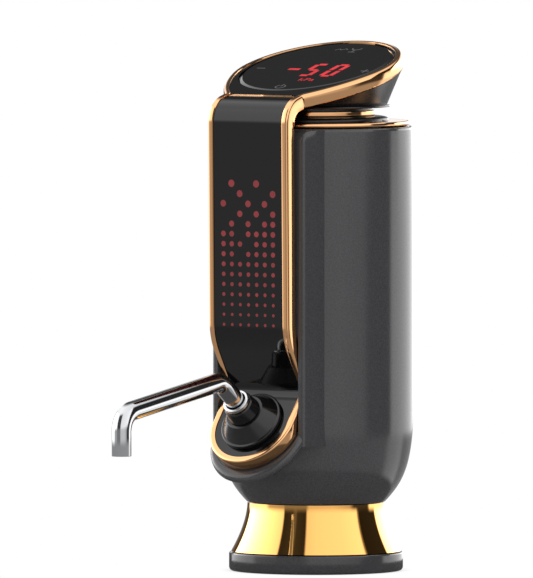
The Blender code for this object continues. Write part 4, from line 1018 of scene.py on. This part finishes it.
tube.data.bevel_depth, tube.data.bevel_resolution, tube.data.use_fill_caps = TUBE_R, 14, False
bpy.ops.object.convert(target="MESH")
tube = bpy.context.object
wall = tube.modifiers.new("wall", "SOLIDIFY")
wall.thickness, wall.offset = TUBE_WALL, -1
bpy.ops.object.modifier_apply(modifier=wall.name)
rounding = tube.modifiers.new("rounding", "BEVEL")
rounding.width, rounding.segments, rounding.angle_limit = 0.15, 2, radians(60)
bpy.ops.object.modifier_apply(modifier=rounding.name)
finished("spout_tube_bent", steel, body="spout", replaces=["spout_tube"], smooth=40)

# %% [markdown]
# ## Lights on the panel
# Behind the front panel, a board of red diodes shines through the tinted acrylic as dots. Each dot is one
# flat disc just above the acrylic, and dots shrink from the top row to the bottom row, as a level meter's
# do.


# %% Glowing inks
UNEVEN = 5


def glow(name, tint, strength):
    looks = {"Base_Color": colour("#0a0a0b"), "Roughness": 0.3, "Emission_Strength": strength}
    material, tree, shader = new_material(name, **looks)
    where = add(tree, "TexCoord").outputs["Object"]
    patch = add(tree, "TexNoise", {"Vector": where, "Scale": 1 / (UNEVEN * MM), "Detail": 2.0}).outputs[0]
    full = colour(tint)
    dim = (*[channel * 0.8 for channel in full[:3]], 1)
    add(tree, "ValToRGB", {"Fac": patch}, ((0.35, dim), (0.65, full)), shader.inputs["Emission Color"])
    return material


dot_red = glow("diode_light_through_acrylic", "#a8343a", 0.62)
digit_red = glow("display_segment_light", "#f0303a", 0.95)
key_grey = glow("key_legend_light", "#77777a", 0.6)

# %% [markdown]
# Seven columns of dots make the level meter. Its top rows are thinned out to a sparkle, and each string of
# numbers names the columns that are lit in one row.

# %% Dot matrix
ROWS = ("25", "37", "146", "357", "2467", "124567", "123567", "124567") + ("1234567",) * 7
PITCH, FIRST_UP, DOT_TOP, DOT_LOW, MIDDLE_COLUMN = 3.11, 120.75, 1.15, 0.5, 4
CORNER_END = RIBBON[1][1]
STRAIGHT_TOP = on_line(RIBBON, CORNER_END)[0].y
INK_DEPTH = PANEL_LOW - 0.03


def flat_prints(shapes):
    """Joins copies of flat outlines, drawn along and across the ribbon, and lays them on its face."""
    leave_edit()
    made = []
    for points in shapes:
        piece = outline(points, fill=True)
        leave_edit()
        made.append(piece)
    for piece in made:
        piece.select_set(True)
    bpy.context.view_layer.objects.active = made[0]
    bpy.ops.object.join()
    for vertex in bpy.context.object.data.vertices:
        vertex.co.z -= INK_DEPTH
    bend_onto_ribbon(bpy.context.object)


def dot_outline(along, side, radius):
    return [Vector((along + radius * cos(a), side + radius * sin(a), 0)) for a in sweep(2 * pi, 16)[:-1]]


dots = []
for row, columns in enumerate(ROWS):
    along = CORNER_END + (STRAIGHT_TOP - FIRST_UP) + row * PITCH
    radius = DOT_TOP + (DOT_LOW - DOT_TOP) * min(1, row / 13)
    dots += [dot_outline(along, (int(number) - MIDDLE_COLUMN) * PITCH, radius) for number in columns]
flat_prints(dots)
finished("diode_dots", dot_red)
print("dots", len(dots))

# %% [markdown]
# The display under the touch disc shows a pressure: seven-segment digits in red with the unit below them.
# The keys are printed in grey: less, more, start and pour. Each is a flat outline laid on the disc, like
# the dots.


# %% Strokes
def stroke(points, width):
    """A closed outline round an open line, drawn as (side, up the display) points."""
    line = [Vector((-up, side)) for side, up in points]
    left, right = [], []
    for index, here in enumerate(line):
        before, after = line[max(0, index - 1)], line[min(len(line) - 1, index + 1)]
        along = (after - before).normalized()
        aside = Vector((-along.y, along.x)) * (width / 2)
        left.append(here + aside)
        right.append(here - aside)
    return [Vector((point.x, point.y, 0)) for point in left + right[::-1]]


def arc(centre, radius, start, end):
    angles = [radians(angle) for angle in sweep(end, 14, start)]
    return [(centre[0] + radius * cos(a), centre[1] + radius * sin(a)) for a in angles]


# %% [markdown]
# A seven-segment digit is a box of strokes with small gaps between them. Each segment is a line between two
# corners of the box, and a digit is the list of segments that are lit.

# %% Digits
DIGIT_W, DIGIT_H, SEGMENT_W = 3.5, 10.8, 1.6
SEGMENTS = {
    "a": ((0, 1), (1, 1)), "b": ((1, 0.5), (1, 1)), "c": ((1, 0), (1, 0.5)), "d": ((0, 0), (1, 0)),
    "e": ((0, 0), (0, 0.5)), "f": ((0, 0.5), (0, 1)), "g": ((0, 0.5), (1, 0.5)),
}
LIT = (("acdfg", -0.3), ("abcdef", 7.7))
BASELINE = -8.1
strokes = []
for lit, left_side in LIT:
    for letter in lit:
        (x1, y1), (x2, y2) = SEGMENTS[letter]
        start = Vector((left_side + DIGIT_W * x1, BASELINE + DIGIT_H * y1))
        end = Vector((left_side + DIGIT_W * x2, BASELINE + DIGIT_H * y2))
        gap = (end - start).normalized() * 0.35
        strokes.append(stroke([start + gap, end - gap], SEGMENT_W))
strokes.append(stroke([(-8.2, -2.4), (-4.0, -2.4)], SEGMENT_W))
flat_prints(strokes)
finished("display_digits", digit_red)

# %% [markdown]
# The unit is text in Blender's own font. It is made a mesh first, and then its points are turned to lie
# along the ribbon, a little wider than the font draws them.

# %% Unit of pressure
UNIT_SIZE, UNIT_ALONG, UNIT_SIDE, UNIT_WIDEN = 3.6, 13.4, 5.3, 1.15
leave_edit()
bpy.ops.object.text_add()
unit = bpy.context.object
unit.data.body = "kPa"
unit.data.size = UNIT_SIZE
unit.data.align_x = "CENTER"
bpy.ops.object.convert(target="MESH")
unit = bpy.context.object
for vertex in unit.data.vertices:
    vertex.co = Vector((UNIT_ALONG - vertex.co.y, UNIT_SIDE + vertex.co.x * UNIT_WIDEN, -INK_DEPTH))
bend_onto_ribbon(unit)
finished("display_unit", digit_red)

# %% [markdown]
# The four keys are plain symbols: a minus, a plus, a power sign, and a glass beside a stream for pouring.

# %% Key legends
BOLD, FINE = 0.5, 0.45
less = [stroke([(-20.4, -2.2), (-17.2, -2.2)], BOLD)]
more = [stroke([(19.2, -2.6), (22.2, -2.6)], BOLD), stroke([(20.7, -1.1), (20.7, -4.1)], BOLD)]
power = [stroke(arc((0.4, -19.6), 1.6, 125, 415), FINE), stroke([(0.4, -19.4), (0.4, -17.2)], FINE)]
bowl = stroke(arc((3.2, 19.4), 1.7, 180, 360), FINE)
stem = stroke([(3.2, 17.7), (3.2, 15.6)], FINE)
glass_foot = stroke([(1.9, 15.6), (4.5, 15.6)], FINE)
stream = stroke([(-4.0, 17.2), (-2.9, 18.4), (-1.8, 17.4), (-0.7, 18.6), (0.4, 17.8)], FINE)
flat_prints(less + more + power + [bowl, stem, glass_foot, stream])
finished("key_legends", key_grey)

# %% [markdown]
# ## Studio
# The floor is pale paper. The camera sees it white with a soft contact shadow. Close to the foot,
# reflections see it dark, and farther out they see through it to the walls below.

# %% Floor
FLOOR_R, SHADOW_REACH, NEAR_END, FAR_START = 500, 18, 66, 76


def grey(value):
    return (value, value, value, 1)


bpy.ops.mesh.primitive_circle_add(
    vertices=128, radius=FLOOR_R * MM, fill_type="NGON", location=(0, AXIS_Y * MM, 0)
)
floor = bpy.context.object
floor.name = "floor"
paper = {"Roughness": 0.9, "Base_Color": colour("#f6f6f6"), "Specular_IOR_Level": 0.0}
floor_paper, tree, shader = new_material("floor_paper", **paper)
path = add(tree, "LightPath").outputs
shade = add(tree, "AmbientOcclusion", {"Distance": SHADOW_REACH * MM}, samples=8).outputs["AO"]
pale = add(tree, "ValToRGB", {"Fac": shade}, ((0.0, grey(0.62)), (0.75, grey(1)))).outputs[0]
seen = add(tree, "Emission", {"Color": pale}).outputs[0]
where = add(tree, "TexCoord").outputs["Object"]
out_from_axis = add(tree, "VectorMath", {0: where}, operation="LENGTH").outputs["Value"]
beyond = add(tree, "MapRange", span(out_from_axis, NEAR_END * MM, FAR_START * MM, 0, 1)).outputs[0]
near = add(tree, "Emission", {"Color": grey(0.1)}).outputs[0]
open_floor = add(tree, "BsdfTransparent").outputs[0]
mirrored = add(tree, "MixShader", {0: beyond, 1: near, 2: open_floor}).outputs[0]
first = add(tree, "MixShader", {0: path["Is Glossy Ray"], 1: shader.outputs[0], 2: mirrored}).outputs[0]
surface = tree.nodes["Material Output"].inputs["Surface"]
add(tree, "MixShader", {0: path["Is Camera Ray"], 1: first, 2: seen}, to=surface)
floor.data.materials.append(floor_paper)
print("floor radius in mm", FLOOR_R)

# %% [markdown]
# Polished metal shows whatever stands round it, so the world is drawn as a studio: white walls with a few
# dark cards. There are no lamps. A card is placed by the bearing and the lean of the surface that mirrors
# it, as the photograph's fixed side sees that surface, which is half way between the ray and that side.
# Only reflections see the cards. Matte surfaces get one plain, even light, and the camera sees white.

# %% World of white walls and dark cards
PLAIN_LIGHT = 0.85
world = bpy.data.worlds.new("studio")
bpy.context.scene.world = world
world.use_nodes = True
tree = world.node_tree
tree.nodes.clear()
ray = add(tree, "TexCoord").outputs["Generated"]
facing = add(tree, "VectorMath", {0: ray, 1: toward}, operation="ADD").outputs["Vector"]
facing = add(tree, "VectorMath", {0: facing}, operation="NORMALIZE").outputs["Vector"]
level_toward = Vector((sin(TURN), -cos(TURN), 0))
ahead = add(tree, "VectorMath", {0: facing, 1: level_toward}, operation="DOT_PRODUCT").outputs["Value"]
across = add(tree, "VectorMath", {0: facing, 1: right}, operation="DOT_PRODUCT").outputs["Value"]
bearing = add(tree, "Math", {0: across, 1: ahead}, operation="ARCTAN2").outputs[0]
turn_share = add(tree, "MapRange", span(bearing, -pi, pi, 0, 1)).outputs[0]
lean = add(tree, "SeparateXYZ", {"Vector": facing}).outputs["Z"]

# Brightness by bearing in degrees to the right. Each ring serves surfaces of one lean, from facing down to flat
UNDER = ((-180, 0.3), (46, 0.45), (50, 1.3), (62, 1.3), (66, 0.45), (180, 0.3))
UPRIGHT = (
    (-180, 0.1), (-76, 0.1), (-74, 2.0), (-47, 2.0), (-43, 0.62), (-28, 0.5), (-27, 0.28), (-8, 0.28),
    (-6, 0.8), (15, 0.85), (29, 0.6), (33, 0.06), (49, 0.05), (51, 1.9), (92, 2.0), (100, 0.3), (180, 0.1),
)
LEANING = (
    (-180, 0.1), (-92, 0.3), (-72, 0.02), (-70, 6.0), (-60, 5.2), (-46, 3.0), (-38, 2.0), (-28, 1.5),
    (-26.8, 0.03), (-18.6, 0.05), (-18, 0.16), (-16.5, 0.16), (-15.9, 0.05), (-8, 0.03), (-7, 1.15), (0, 1.3),
    (20, 1.4), (35.5, 1.6), (36.8, 0.02), (56.5, 0.03), (58.5, 3.8), (90, 4.2), (100, 0.3), (180, 0.1),
)
SLOPING = (
    (-180, 0.12), (-110, 0.12), (-95, 1.2), (-35, 1.6), (20, 1.3), (47, 1.2), (49, 0.1), (60, 0.1),
    (62, 1.4), (95, 1.4), (110, 0.2), (180, 0.12),
)
NEARLY_FLAT = ((-180, 0.09), (180, 0.09))
FLAT = ((-180, 1.0), (180, 1.0))
BLENDS = (
    (UPRIGHT, -0.12, -0.04), (LEANING, 0.04, 0.16), (SLOPING, 0.50, 0.62), (NEARLY_FLAT, 0.78, 0.93),
    (FLAT, 0.975, 0.99),
)


def ring_of(cards):
    """A ring of walls as the stops of a ramp, whose whole length is one full turn."""
    return [((angle + 180) / 360, grey(value)) for angle, value in cards]


walls = add(tree, "ValToRGB", {"Fac": turn_share}, ring_of(UNDER)).outputs[0]
for cards, start, end in BLENDS:
    row = add(tree, "ValToRGB", {"Fac": turn_share}, ring_of(cards)).outputs[0]
    limits = span(lean, start, end, 0, 1)
    climb = add(tree, "MapRange", limits, interpolation_type="SMOOTHSTEP").outputs[0]
    walls = add(tree, "Mix", {"Factor": climb, 6: walls, 7: row}, data_type="RGBA").outputs[2]
seen = add(tree, "Background", {"Color": grey(1)}).outputs[0]
plain = add(tree, "Background", {"Color": grey(1), "Strength": PLAIN_LIGHT}).outputs[0]
mirrored = add(tree, "Background", {"Color": walls}).outputs[0]
path = add(tree, "LightPath").outputs
first = add(tree, "MixShader", {0: path["Is Glossy Ray"], 1: plain, 2: mirrored}).outputs[0]
last = add(tree, "MixShader", {0: path["Is Camera Ray"], 1: first, 2: seen}).outputs[0]
add(tree, "OutputWorld", {"Surface": last})
print("rings of cards", len(BLENDS) + 1)

# %% [markdown]
# ## View transform
# The plain view transform shows colours as they were picked.

# %% Real view transform
bpy.context.scene.view_settings.view_transform = "Standard"
bpy.context.view_layer.update()
